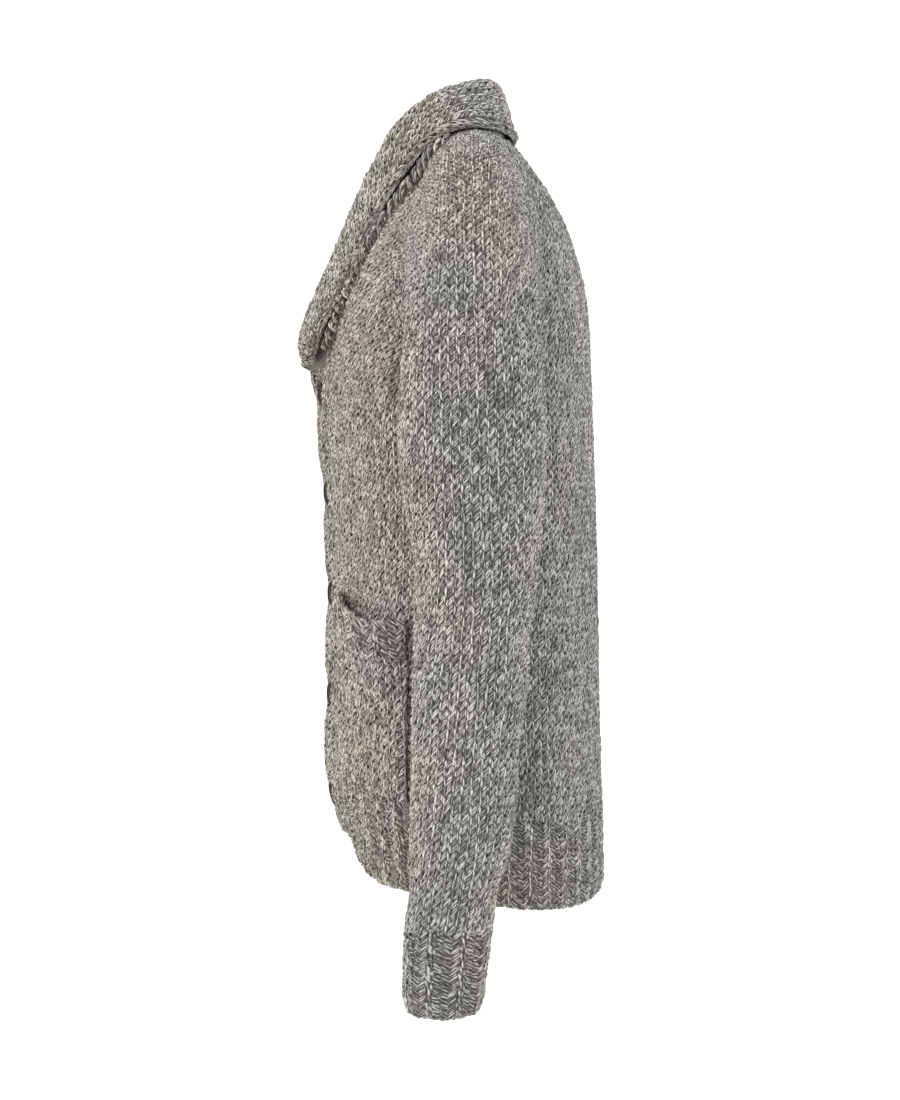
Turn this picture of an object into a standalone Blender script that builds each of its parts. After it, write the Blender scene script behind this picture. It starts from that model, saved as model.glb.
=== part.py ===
"""A knitted shawl collar cardigan, filled out and hollow, as one named solid for each cut piece.

+Z is up, the fronts face -Y and the wearer's left is +X. The origin is level with the high
points of the shoulders, where the wearer carries it.
"""

import math

import bmesh
import bpy
import numpy as np
from mathutils import Vector
from mathutils.bvhtree import BVHTree

# ---------------------------------------------------------------- driving sizes, in metres
WALL = 0.0045  # thickness of the chunky knit
SEAM = 0.0003  # gap between neighbouring pieces along a seam
REST = 0.0008  # gap between a layer and what it lies on
RIB_RELIEF = 0.0018  # how far a knit rib stands out of the purl between
HEM_RIBS_BACK = 20
HEM_RIBS_FRONT = 9
HEM_LOW_Z = -0.62  # heights at which a hem's ends are read beside the bands
HEM_TOP_Z = -0.55
CUFF_TOP_Z = -0.673
CUFF_BOTTOM_Z = -0.7385
CUFF_RIBS = 8

Y_MID = 0.015  # the side seams' depth
ROUND_FRONT = 2.1  # superellipse exponents of the body's sections
ROUND_BACK = 2.3
NOSE_DEPTH = 0.007  # how far the buttoned bands stand forward of the fronts
NOSE_WIDTH = 0.026
NOSE_X = -0.008  # the bands stand out most near the left one's free edge

BAND_SEAM_LEFT = 0.027  # x of the seam between the left front and its band
BAND_EDGE_LEFT = -0.018  # x of the left band's free edge
BAND_SEAM_RIGHT = -0.023
BAND_EDGE_RIGHT = 0.013
OVERLAP = WALL + REST  # how far the left band stands off the right one
BREAK_Z = -0.200  # where the bands end and the collar begins to roll
EDGE_LIFT = 0.0065  # how far the left band's free edge rises into the collar
CURL_TALL = 0.045  # over this last part of its height
CURL_EDGE = -0.004  # from this x, where the rise begins,
CURL_WIDE = 0.012  # over this much of the band's width

BUTTON_RADIUS = 0.0105
BUTTON_THICK = 0.0036
BUTTON_STAND = 0.0011  # from the bottom of its seat in the band to the button's back
BUTTON_SIDES = 16
BUTTON_HOLE = 0.0010  # radius of each of the four sewing holes
BUTTON_HOLE_AT = 0.0021
BUTTON_Z = (-0.218, -0.308, -0.399, -0.490, -0.580)
BUTTON_X = 0.0045  # the middle of the left band
BUTTON_SEAT = 0.0060  # depth of the flat seat that each button presses into the bands
BUTTON_DRAW = 0.0185  # radius of the seat

POCKET_INNER_X = 0.072
POCKET_OUTER_PHI = math.radians(66.0)
POCKET_BULGE = 0.013
POCKET_BAND = 0.026
POCKET_TOP_INNER = -0.397  # height of the open top at its inner and outer end
POCKET_TOP_OUTER = -0.421
POCKET_COLUMNS = 10
POCKET_ROWS = 6
POCKET_RIBS = 5
POCKET_BAND_LEVELS = np.array([0.0, 0.5, 1.0])
SLEEVE_RING_Z = -0.315  # top of the plain tube; above it the sleeve turns to the shoulder
CAP_TILT_LOW = 66.0  # how steeply the cap meets the body, in degrees, at the underarm
CAP_TILT_HIGH = 16.0  # and at the neck
CAP_HOLD_ENDS = 0.10  # how far the cap leaves the seam in the body's own plane
CAP_HOLD_MIDDLE = 0.55
CAP_REACH_TUBE = 1.15  # how stiffly its columns leave the tube and reach the seam
CAP_REACH_SEAM = 1.25
GIRTH_RADIUS = 0.160  # typical radius of the body, for measuring along it

FRONT_ROWS = 18
BAND_ROWS = 11  # rows of the front beside its band
BACK_ROWS = 18
SLEEVE_COLUMNS = 24
RAGLAN_STEPS = 10  # columns along each raglan seam
NECK_STEPS = SLEEVE_COLUMNS - 2 * RAGLAN_STEPS
SLEEVE_RINGS = 9  # rows of the plain tube, and of the cap above it
CAP_ROWS = 10
BACK_NECK_STEPS = 3  # columns from the raglan seam to the centre back

# Body sections: height, half width, centre front and centre back.
BODY = np.array(
    [
        (-0.680, 0.180, -0.0830, 0.1368),
        (-0.643, 0.183, -0.0885, 0.1374),
        (-0.628, 0.184, -0.0915, 0.1374),
        (-0.615, 0.185, -0.0908, 0.1373),
        (-0.596, 0.187, -0.0970, 0.1370),
        (-0.578, 0.188, -0.0998, 0.1366),
        (-0.520, 0.188, -0.1010, 0.1350),
        (-0.450, 0.187, -0.1005, 0.1337),
        (-0.378, 0.184, -0.1005, 0.1322),
        (-0.305, 0.181, -0.1040, 0.1302),
        (-0.233, 0.179, -0.1085, 0.1280),
        (-0.178, 0.178, -0.1080, 0.1260),
        (-0.139, 0.176, -0.1010, 0.1232),
        (-0.105, 0.168, -0.0900, 0.1162),
        (-0.069, 0.146, -0.0760, 0.1042),
        (-0.033, 0.116, -0.0565, 0.0850),
        (-0.010, 0.097, -0.0425, 0.0690),
        (0.014, 0.082, -0.0280, 0.0480),
    ]
)
# Ribbed hem: degrees round from the centre front, lower edge, upper edge.
HEM_LINE = np.array(
    [
        (0.0, -0.6150, -0.5450),
        (12.0, -0.6175, -0.5480),
        (22.0, -0.6260, -0.5530),
        (30.0, -0.6390, -0.5580),
        (38.0, -0.6460, -0.5630),
        (60.0, -0.6515, -0.5740),
        (90.0, -0.6590, -0.5830),
        (115.0, -0.6665, -0.5910),
        (140.0, -0.6680, -0.5940),
        (160.0, -0.6635, -0.5910),
        (180.0, -0.6575, -0.5870),
    ]
)
# Raglan seams from the underarm to the neck: degrees round from the centre, height.
RAGLAN_FRONT = np.array(
    [
        (90.0, -0.2480),
        (84.0, -0.2400),
        (77.5, -0.2120),
        (70.0, -0.1800),
        (63.8, -0.1480),
        (60.2, -0.1150),
        (58.6, -0.0850),
        (57.8, -0.0500),
        (57.4, -0.0100),
    ]
)
RAGLAN_BACK = np.array(
    [
        (90.0, -0.2480),
        (83.0, -0.2400),
        (75.0, -0.2150),
        (66.0, -0.1880),
        (58.5, -0.1560),
        (53.5, -0.1150),
        (50.0, -0.0750),
        (47.0, -0.0350),
        (44.0, 0.0080),
    ]
)
# V neckline from the break to the front raglan: height, x.
V_LINE = np.array(
    [
        (-0.200, 0.027),
        (-0.170, 0.0385),
        (-0.120, 0.0545),
        (-0.070, 0.0660),
        (-0.030, 0.0755),
        (-0.010, 0.0800),
    ]
)
# Sleeve rings: height, centre x, centre y, half width, half depth.
SLEEVE = np.array(
    [
        (-0.745, 0.2490, -0.0064, 0.0315, 0.0321),
        (-0.731, 0.2487, -0.0056, 0.0320, 0.0329),
        (-0.686, 0.2475, -0.0026, 0.0340, 0.0351),
        (-0.650, 0.2465, 0.0016, 0.0365, 0.0367),
        (-0.638, 0.2462, 0.0036, 0.0376, 0.0380),
        (-0.605, 0.2450, 0.0083, 0.0395, 0.0410),
        (-0.548, 0.2435, 0.0120, 0.0415, 0.0440),
        (-0.467, 0.2420, 0.0170, 0.0440, 0.0474),
        (-0.401, 0.2400, 0.0207, 0.0455, 0.0496),
        (-0.368, 0.2390, 0.0210, 0.0460, 0.0525),
        (-0.343, 0.2380, 0.0203, 0.0465, 0.0555),
        (-0.315, 0.2370, 0.0193, 0.0470, 0.0585),
    ]
)
# Largest folds of the sleeve: degrees round, height, depth inward, spread in degrees, in metres.
SLEEVE_FOLDS = (
    (275.0, -0.362, 0.0026, 44.0, 0.028),
    (268.0, -0.405, -0.0012, 34.0, 0.024),
    (100.0, -0.430, 0.0030, 46.0, 0.020),
    (95.0, -0.520, 0.0025, 40.0, 0.018),
    (265.0, -0.640, 0.0022, 46.0, 0.012),
    (80.0, -0.636, 0.0030, 50.0, 0.012),
)
# Largest folds of the body: degrees round, height, depth inward, spread in degrees, in metres.
BODY_FOLDS = (
    (57.0, -0.245, -0.0022, 5.0, 0.050),
    (68.0, -0.260, 0.0030, 6.0, 0.070),
    (113.0, -0.290, 0.0030, 7.0, 0.080),
    (128.0, -0.240, -0.0016, 7.0, 0.090),
    (74.0, -0.480, 0.0022, 9.0, 0.090),
    (106.0, -0.500, 0.0022, 9.0, 0.100),
)
# Roll line of one half of the collar, from the break to the centre back: x, y, z.
ROLL = np.array(
    [
        (0.0175, -0.1312, -0.1660),
        (0.0235, -0.1245, -0.1480),
        (0.0310, -0.1150, -0.1270),
        (0.0420, -0.0985, -0.0920),
        (0.0510, -0.0835, -0.0575),
        (0.0575, -0.0690, -0.0250),
        (0.0620, -0.0510, 0.0080),
        (0.0635, -0.0320, 0.0300),
        (0.0610, -0.0060, 0.0465),
        (0.0505, 0.0190, 0.0565),
        (0.0295, 0.0335, 0.0600),
        (0.0000, 0.0390, 0.0602),
    ]
)
# Free edge at the same places.
EDGE = np.array(
    [
        (0.0560, -0.1150, -0.1680),
        (0.0680, -0.1060, -0.1500),
        (0.0770, -0.0960, -0.1310),
        (0.0890, -0.0800, -0.1000),
        (0.0965, -0.0630, -0.0680),
        (0.0995, -0.0480, -0.0420),
        (0.1010, -0.0300, -0.0180),
        (0.1000, -0.0120, 0.0000),
        (0.0920, 0.0140, 0.0105),
        (0.0760, 0.0385, 0.0115),
        (0.0440, 0.0540, 0.0100),
        (0.0000, 0.0592, 0.0095),
    ]
)
# How each half starts, below the first row above: x, how far ahead of the flat strip, z. The
# left one lies over the right one, whose fold begins past the left one's roll.
ROLL_START_LEFT = np.array(
    [
        (-0.0180, 0.0000, -0.2000),
        (-0.0140, 0.0000, -0.1960),
        (-0.0050, 0.0070, -0.1870),
        (0.0070, 0.0165, -0.1780),
    ]
)
EDGE_START_LEFT = np.array(
    [
        (-0.0180, 0.0000, -0.2000),
        (-0.0112, 0.0015, -0.1966),
        (0.0110, 0.0085, -0.1945),
        (0.0360, 0.0140, -0.1845),
    ]
)
ROLL_START_RIGHT = np.array(
    [
        (-0.0130, 0.0000, -0.2000),
        (-0.0040, 0.0000, -0.1950),
        (0.0065, 0.0005, -0.1885),
        (0.0145, 0.0055, -0.1800),
    ]
)
EDGE_START_RIGHT = np.array(
    [
        (-0.0130, 0.0000, -0.2000),
        (-0.0040, 0.0000, -0.1950),
        (0.0095, 0.0025, -0.1900),
        (0.0310, 0.0145, -0.1830),
    ]
)
SLANT_STEPS = (4, 4, 3, 2, 2, 2, 1)  # collar sections to each row of the fronts above the break
COLLAR_ACROSS = 12  # from the seam over the roll to the free edge
TURN = 0.0065  # how broadly the cloth turns over at the roll
CURL_UP_TO = 0.012  # a fall narrower than this is only an edge that has begun to turn
CURL_RADIUS = 0.0048
CURL_MOST = math.radians(150.0)

LOOKS = {
    # slot: base colour, roughness
    "knit": ((0.262, 0.250, 0.232), 0.95),
    "rib": ((0.240, 0.230, 0.214), 0.95),
    "button": ((0.028, 0.021, 0.017), 0.42),
}


# ---------------------------------------------------------------- curves
def column(rows, index, at):
    """A smooth curve through one column of a table, whose first column is the key."""
    keys = rows[:, 0]
    values = rows[:, index]
    slopes = np.gradient(values, keys)
    at = np.clip(at, keys[0], keys[-1])
    i = np.clip(np.searchsorted(keys, at) - 1, 0, len(keys) - 2)
    span = keys[i + 1] - keys[i]
    t = (at - keys[i]) / span
    near = (1 + 2 * t) * (1 - t) ** 2 * values[i] + t * (1 - t) ** 2 * span * slopes[i]
    far = t * t * (3 - 2 * t) * values[i + 1] - t * t * (1 - t) * span * slopes[i + 1]
    return near + far


def along(points, count):
    """Count + 1 points at even distances along a smooth curve through the points."""
    chords = np.linalg.norm(np.diff(points, axis=0), axis=1)
    keys = np.concatenate([[0.0], np.cumsum(chords)])
    rows = np.column_stack([keys, points])
    fine = np.linspace(0.0, keys[-1], 40 * count + 1)
    curve = np.column_stack([column(rows, k + 1, fine) for k in range(points.shape[1])])
    walked = np.concatenate([[0.0], np.cumsum(np.linalg.norm(np.diff(curve, axis=0), axis=1))])
    wanted = np.linspace(0.0, walked[-1], count + 1)
    return np.column_stack([np.interp(wanted, walked, curve[:, k]) for k in range(points.shape[1])])


def ease(t):
    """Smooth step from 0 to 1."""
    t = np.clip(t, 0.0, 1.0)
    return t * t * (3 - 2 * t)


def unit(v):
    return v / np.maximum(np.linalg.norm(v, axis=-1, keepdims=True), 1e-12)


def seat(x, z):
    """How deep the buttons press the bands in, from 0 to 1."""
    pressed = 0.0
    for level in BUTTON_Z:
        pressed = pressed + np.exp(-((np.hypot(x - BUTTON_X, z - level) / BUTTON_DRAW) ** 4))
    return pressed


def bump(away, width):
    return np.exp(-((away / width) ** 2))


# ---------------------------------------------------------------- the garment's form
def torso(phi, z):
    """Outer point of the body. phi runs from the centre front, and pi is the centre back."""
    half = column(BODY, 1, z)
    front = column(BODY, 2, z) - Y_MID
    back = column(BODY, 3, z) - Y_MID
    c = np.cos(phi)
    s = np.sin(phi)
    ahead = c > 0
    power = np.where(ahead, 2 / ROUND_FRONT, 2 / ROUND_BACK)
    degrees = np.degrees(np.abs(phi))
    # The body flares a little into the underarm, so that the fold there is round.
    flare = 0.005 * bump(degrees - 90.0, 13.0) * ease((z + 0.275) / 0.027)
    x = (half + flare) * np.sign(s) * np.abs(s) ** power
    y = Y_MID + np.where(ahead, front, back) * np.abs(c) ** power
    nose = NOSE_DEPTH * bump(x - NOSE_X, NOSE_WIDTH)
    nose = nose * ease((-0.10 - z) / 0.08) * ease((z + 0.625) / 0.06) - BUTTON_SEAT * seat(x, z)
    y = y - np.where(ahead, nose, 0.0)
    swell = np.zeros_like(x)
    for at, level, depth, wide, tall in BODY_FOLDS:
        swell = swell - depth * bump(degrees - at, wide) * bump(z - level, tall)
    ends = ease((z + 0.60) / 0.05)
    x = x + swell * ends * s
    y = y - swell * ends * c
    return np.stack([x, y, z + 0.0 * x], axis=-1)


def torso_normal(phi, z):
    step = 1e-4
    round_it = torso(phi + step, z) - torso(phi - step, z)
    up = torso(phi, z + step) - torso(phi, z - step)
    return unit(np.cross(round_it, up))


def phi_at(x, z):
    """The front's phi at a given x, without the nose."""
    ratio = np.clip(np.abs(x) / column(BODY, 1, z), 0.0, 1.0)
    return np.sign(x) * np.arcsin(ratio ** (ROUND_FRONT / 2))


def hem_z(phi, edge):
    """Height of the ribbed hem's lower edge, 1, or upper edge, 2."""
    return column(HEM_LINE, edge, np.degrees(np.abs(phi)))


def raglan(rows, back):
    """phi and height of a raglan seam's points, from the underarm to the neck."""
    degrees = 180.0 - rows[:, 0] if back else rows[:, 0]
    unrolled = np.column_stack([np.radians(degrees) * GIRTH_RADIUS, rows[:, 1]])
    spaced = along(unrolled, RAGLAN_STEPS)
    return spaced[:, 0] / GIRTH_RADIUS, spaced[:, 1]


def sleeve_ring(theta, z):
    """Outer point of the left sleeve's tube. theta 0 faces +X and 90 degrees faces +Y."""
    cx, cy, wide, deep = (column(SLEEVE, k, z) for k in (1, 2, 3, 4))
    degrees = np.degrees(theta) % 360.0
    push = np.zeros_like(degrees + z)
    for at, level, depth, spread, tall in SLEEVE_FOLDS:
        away = (degrees - at + 180.0) % 360.0 - 180.0
        push = push + depth * bump(away, spread) * bump(z - level, tall)
    x = cx + (wide - push) * np.cos(theta)
    y = cy + (deep - push) * np.sin(theta)
    return np.stack([x, y, z + 0.0 * x], axis=-1)


# ---------------------------------------------------------------- grids of outer points
def front_grid(seam_x):
    """phi and height on the left front, from its band seam to the side seam, hem to neck."""
    u = np.linspace(0.0, 1.0, RAGLAN_STEPS + 1)
    phi0 = phi_at(seam_x, hem_z(phi_at(seam_x, HEM_TOP_Z), 2))
    bottom_phi = phi0 + (math.pi / 2 - phi0) * u
    bottom = np.column_stack([bottom_phi, hem_z(bottom_phi, 2)])
    top_phi, top_z = raglan(RAGLAN_FRONT, False)
    top = np.column_stack([top_phi, top_z])[::-1]
    straight_z = np.linspace(bottom[0, 1], BREAK_Z, BAND_ROWS + 1)
    straight = np.column_stack([phi_at(seam_x, straight_z), straight_z])
    slant = v_line(seam_x, FRONT_ROWS - BAND_ROWS)
    left = np.vstack([straight, np.column_stack([phi_at(slant[1:, 0], slant[1:, 1]), slant[1:, 1]])])
    left[-1] = top[0]
    rows = np.linspace(0.0, 1.0, FRONT_ROWS + 1)
    right_z = bottom[-1, 1] + (top[-1, 1] - bottom[-1, 1]) * rows
    right = np.column_stack([np.full(FRONT_ROWS + 1, math.pi / 2), right_z])
    return coons(bottom, top, left, right)


def v_line(seam_x, steps):
    """x and height down the slanted neckline's edge, from the break up to the raglan seam."""
    line = V_LINE[:, ::-1].copy()
    line[0, 0] = seam_x
    top_phi, top_z = raglan(RAGLAN_FRONT, False)
    line[-1] = (torso(top_phi[-1], top_z[-1])[0], top_z[-1])
    return along(line, steps)


def coons(bottom, top, left, right):
    """A patch between four edges; rows run from bottom to top, columns from left to right."""
    u = np.linspace(0.0, 1.0, len(bottom))[None, :, None]
    v = np.linspace(0.0, 1.0, len(left))[:, None, None]
    ruled = (1 - v) * bottom[None] + v * top[None] + (1 - u) * left[:, None] + u * right[:, None]
    corners = (1 - v) * ((1 - u) * bottom[0] + u * bottom[-1])
    corners = corners + v * ((1 - u) * top[0] + u * top[-1])
    return ruled - corners


def back_edge():
    """Top edge of the back: left underarm, raglan, neck, raglan, right underarm."""
    phi, z = raglan(RAGLAN_BACK, True)
    neck_phi = np.linspace(phi[-1], math.pi, BACK_NECK_STEPS + 1)[1:]
    dip = ease((neck_phi - phi[-1]) / (math.pi - phi[-1]))
    neck_z = z[-1] + 0.004 * dip
    half = np.column_stack([np.append(phi, neck_phi), np.append(z, neck_z)])
    other = half[:-1][::-1].copy()
    other[:, 0] = 2 * math.pi - other[:, 0]
    return np.vstack([half, other])


def back_grid(rows):
    top = back_edge()
    u = np.linspace(0.0, 1.0, len(top))
    bottom_phi = math.pi / 2 + math.pi * u
    round_phi = np.where(bottom_phi > math.pi, 2 * math.pi - bottom_phi, bottom_phi)
    bottom = np.column_stack([bottom_phi, hem_z(round_phi, 2)])
    v = np.linspace(0.0, 1.0, rows + 1)[:, None, None]
    return (1 - v) * bottom[None] + v * top[None]


def at_body(grid):
    """World points of a grid of phi and height; past the centre back phi goes on round."""
    return torso(folded(grid[..., 0]), grid[..., 1])


def neck_edge():
    """The sleeve's own neck edge, from the front raglan to the back one."""
    phi, z = raglan(RAGLAN_FRONT, False)
    first = torso(phi[-1], z[-1])
    phi, z = raglan(RAGLAN_BACK, True)
    last = torso(phi[-1], z[-1])
    middle = np.array([0.0800, 0.0150, 0.0105])
    quarter = 0.5 * (first + middle) + [0.0035, 0.0, 0.0030]
    three = 0.5 * (last + middle) + [0.0040, 0.0, 0.0018]
    return along(np.array([first, quarter, middle, three, last]), NECK_STEPS)


def sleeve_grid(rings, cap_rows):
    """The left sleeve: rings of a tube from the cuff, then columns that turn to the seams."""
    theta = math.pi + 2 * math.pi * np.arange(SLEEVE_COLUMNS + 1) / SLEEVE_COLUMNS
    z = np.linspace(CUFF_TOP_Z, SLEEVE_RING_Z, rings + 1)
    tube = sleeve_ring(theta[None, :], z[:, None])
    step = 1e-3
    start = tube[-1]
    rise = unit(start - sleeve_ring(theta, np.full(theta.shape, SLEEVE_RING_Z - step)))
    front_phi, front_z = raglan(RAGLAN_FRONT, False)
    back_phi, back_z = raglan(RAGLAN_BACK, True)
    neck = neck_edge()
    front = torso(front_phi, front_z)
    back = torso(back_phi, back_z)
    goal = np.vstack([front, neck[1:], back[::-1][1:]])
    front_n = torso_normal(front_phi, front_z)
    back_n = torso_normal(back_phi, back_z)
    share = np.linspace(0.0, 1.0, RAGLAN_STEPS + 1)
    tilt = np.radians(CAP_TILT_LOW + (CAP_TILT_HIGH - CAP_TILT_LOW) * share**0.8)
    aim = np.column_stack([-np.cos(tilt), 0 * tilt, np.sin(tilt)])
    hold = (CAP_HOLD_ENDS + CAP_HOLD_MIDDLE * np.sin(np.pi * share) ** 1.5)[:, None]
    front_aim = aim - hold * (aim * front_n).sum(1)[:, None] * front_n
    back_aim = aim - hold * (aim * back_n).sum(1)[:, None] * back_n
    middle = np.repeat(aim[-1][None], NECK_STEPS - 1, axis=0)
    ends = unit(np.vstack([front_aim, middle, back_aim[::-1]]))
    chord = np.linalg.norm(goal - start, axis=1)[:, None]
    t = np.linspace(0.0, 1.0, cap_rows + 1)[1:, None, None]
    reach0 = CAP_REACH_TUBE * chord
    reach1 = CAP_REACH_SEAM * chord
    cap = (
        (1 + 2 * t) * (1 - t) ** 2 * start
        + t * (1 - t) ** 2 * rise * reach0
        + t * t * (3 - 2 * t) * goal
        - t * t * (1 - t) * ends * reach1
    )
    return np.vstack([tube, cap])


# ---------------------------------------------------------------- normals and walls
def grid_normals(points, closed):
    """Area-weighted normals of a grid whose rows run up and columns run anticlockwise."""
    out = np.zeros_like(points)
    a = points[:-1, :-1]
    b = points[:-1, 1:]
    c = points[1:, 1:]
    d = points[1:, :-1]
    face = np.cross(c - a, d - b)
    out[:-1, :-1] += face
    out[:-1, 1:] += face
    out[1:, 1:] += face
    out[1:, :-1] += face
    if closed:
        both = out[:, 0] + out[:, -1]
        out[:, 0] = both
        out[:, -1] = both
    return out


def level_row(normals, row):
    """Turn one row's normals level, so that the wall ends in a level rim there."""
    flat = normals[row] * [1.0, 1.0, 0.0]
    normals[row] = unit(flat)


def square_column(normals, at, rows):
    """Turn the first rows of a column's normals into the plane of a straight band seam."""
    normals[:rows, at] = unit(normals[:rows, at] * [0.0, 1.0, 1.0])


def common_normals(grids):
    """Unit normals for named grids, shared where two grids meet in a point."""
    loose = {name: grid_normals(points, closed) for name, (points, closed) in grids.items()}
    meetings = {}
    for name, (points, closed) in grids.items():
        last_row = points.shape[0] - 1
        last_column = points.shape[1] - 1
        for r, c in np.ndindex(points.shape[:2]):
            if r in (0, last_row) or c in (0, last_column):
                key = tuple(np.round(points[r, c], 5) + 0.0)
                meetings.setdefault(key, []).append((name, r, c))
    for meeting in meetings.values():
        if len({name for name, r, c in meeting}) < 2:
            continue
        total = sum(unit(loose[name][r, c]) for name, r, c in meeting)
        for name, r, c in meeting:
            loose[name][r, c] = total
    normals = {name: unit(values) for name, values in loose.items()}
    for values in normals.values():
        level_row(values, 0)
    square_column(normals["front_left"], 0, BAND_ROWS + 1)
    square_column(normals["front_right"], -1, BAND_ROWS + 1)
    return normals


def inset(points, normals, sides):
    """Move the named rims of a grid inward by half a seam: bottom, top, left, right."""
    out = points.copy()
    last_row = points.shape[0] - 1
    last_column = points.shape[1] - 1
    inward = {
        "bottom": (slice(0, 1), slice(None), points[1:2] - points[0:1]),
        "top": (slice(last_row, last_row + 1), slice(None), points[-2:-1] - points[-1:]),
        "left": (slice(None), slice(0, 1), points[:, 1:2] - points[:, 0:1]),
        "right": (
            slice(None),
            slice(last_column, last_column + 1),
            points[:, -2:-1] - points[:, -1:],
        ),
    }
    for side in sides:
        r, c, toward = inward[side]
        rim = points[r, c].reshape(-1, 3)
        tangent = unit(np.gradient(rim, axis=0)).reshape(toward.shape)
        straight = toward - (toward * tangent).sum(-1, keepdims=True) * tangent
        n = normals[r, c]
        straight = straight - (straight * n).sum(-1, keepdims=True) * n
        out[r, c] = out[r, c] + unit(straight) * SEAM / 2
    return out


SPLIT = np.array([0.31, 0.83, 0.46])  # orders the two ends of a rim edge, alike on both sides


def stitch(name, outer, inner, slot, closed=False):
    """A closed wall between two grids of the same shape, as an object.

    The rims are split into triangles along the diagonal that starts at the higher outer point,
    so that both sides of a seam are split alike.
    """
    if closed:
        outer = outer[:, :-1]
        inner = inner[:, :-1]
    rows, columns = outer.shape[:2]
    points = np.concatenate([outer.reshape(-1, 3), inner.reshape(-1, 3)])
    shift = rows * columns

    def at(r, c, side):
        return side * shift + r * columns + c % columns

    faces = []
    around = columns if closed else columns - 1
    for r in range(rows - 1):
        for c in range(around):
            faces.append((at(r, c, 0), at(r, c + 1, 0), at(r + 1, c + 1, 0), at(r + 1, c, 0)))
            faces.append((at(r, c, 1), at(r + 1, c, 1), at(r + 1, c + 1, 1), at(r, c + 1, 1)))
    rim = [(0, c + 1, 0, c) for c in range(around)]
    rim += [(rows - 1, c, rows - 1, c + 1) for c in range(around)]
    if not closed:
        rim += [(r, 0, r + 1, 0) for r in range(rows - 1)]
        rim += [(r + 1, columns - 1, r, columns - 1) for r in range(rows - 1)]
    for r0, c0, r1, c1 in rim:
        o0, o1, i0, i1 = at(r0, c0, 0), at(r1, c1, 0), at(r0, c0, 1), at(r1, c1, 1)
        if (points[o0] - points[o1]) @ SPLIT > 0:
            faces += [(o0, o1, i1), (o0, i1, i0)]
        else:
            faces += [(o0, o1, i0), (o1, i1, i0)]
    return make(name, points, faces, slot)


def make(name, points, faces, slot):
    mesh = bpy.data.meshes.new(name)
    mesh.from_pydata([tuple(p) for p in points], [], faces)
    work = bmesh.new()
    work.from_mesh(mesh)
    bmesh.ops.recalc_face_normals(work, faces=work.faces)
    work.to_mesh(mesh)
    work.free()
    mesh.materials.append(material(slot))
    mesh.shade_smooth()
    mesh.set_sharp_from_angle(angle=math.radians(50))
    piece = bpy.data.objects.new(name, mesh)
    bpy.context.collection.objects.link(piece)
    return piece


def material(slot):
    if slot in bpy.data.materials:
        return bpy.data.materials[slot]
    colour, rough = LOOKS[slot]
    made = bpy.data.materials.new(slot)
    made.use_nodes = True
    shader = made.node_tree.nodes["Principled BSDF"]
    shader.inputs["Base Color"].default_value = (*colour, 1.0)
    shader.inputs["Roughness"].default_value = rough
    shader.inputs["Metallic"].default_value = 0.0
    return made


def mirrored(points):
    """The same grid on the right side, with its columns reversed so that it still faces out."""
    return (points * [-1.0, 1.0, 1.0])[:, ::-1]


# ---------------------------------------------------------------- pieces
def left_rise(points):
    """How far the left front and its band step forward over the right band."""
    x = points[..., 0]
    low = ease((0.060 - x) / 0.033) * 0.0020
    step = ease((BAND_SEAM_LEFT - x) / 0.011) * (OVERLAP - 0.0020)
    fade = ease((-0.110 - points[..., 2]) / 0.060)
    above = ease((points[..., 2] - BREAK_Z + CURL_TALL) / CURL_TALL)
    return (low + step) * fade + EDGE_LIFT * above * ease((CURL_EDGE - x) / CURL_WIDE)


def forward(points):
    """The points moved forward where the left side lies over the right one."""
    out = points.copy()
    out[..., 1] -= left_rise(points)
    return out


def build_panels():
    """Fronts, back and sleeves. Returns their outer grids and normals by name."""
    sleeve = sleeve_grid(SLEEVE_RINGS, CAP_ROWS)
    grids = {
        "front_left": (forward(at_body(front_grid(BAND_SEAM_LEFT))), False),
        "front_right": (mirrored(at_body(front_grid(-BAND_SEAM_RIGHT))), False),
        "back": (at_body(back_grid(BACK_ROWS)), False),
        "sleeve_left": (sleeve, True),
        "sleeve_right": (mirrored(sleeve), True),
    }
    normals = common_normals(grids)
    for name, (points, closed) in grids.items():
        sides = ("bottom", "top") if closed else ("bottom", "top", "left", "right")
        outer = inset(points, normals[name], sides)
        if closed:
            outer[:, -1] = outer[:, 0]
        stitch(name, outer, outer - WALL * normals[name], "knit", closed)
    return {name: points for name, (points, closed) in grids.items()}, normals


# Where a rib's columns lie across it, and how far each stands out.
RIB_STEPS = ((0.08, 0.0), (0.22, 1.0), (0.56, 1.0), (0.70, 0.0))
POCKET_RIB_STEPS = ((0.12, 1.0), (0.50, 1.0), (0.62, 0.0), (1.00, 0.0))


def rib_columns(ribs, steps=RIB_STEPS):
    """Column places from 0 to 1 across a number of ribs, and how far each stands out."""
    table = [(0.0, 0.0)]
    for k in range(ribs):
        table += [(k + at, high) for at, high in steps]
    if table[-1][0] < ribs:
        table.append((float(ribs), 0.0))
    places, raised = np.array(table).T
    return places / ribs, raised


RIB_LEVELS = np.array([0.0, 0.07, 1.0])  # rows of a ribbed edge, as shares of its height
RIB_SWELL = np.array([0.35, 1.0, 0.75])  # how far the ribs stand out in each row
RIB_TURN = np.array([-0.0012, 0.0, 0.0])  # the lower edge turns in a little


def ribbed(name, base, normals, raised, sides, closed=False):
    relief = RIB_RELIEF * RIB_SWELL[:, None] * raised[None, :] + RIB_TURN[:, None]
    outer = inset(base, normals, sides)
    if closed:
        outer[:, -1] = outer[:, 0]
    rib = outer + normals * relief[..., None]
    stitch(name, rib, outer - WALL * normals, "rib", closed)


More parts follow.
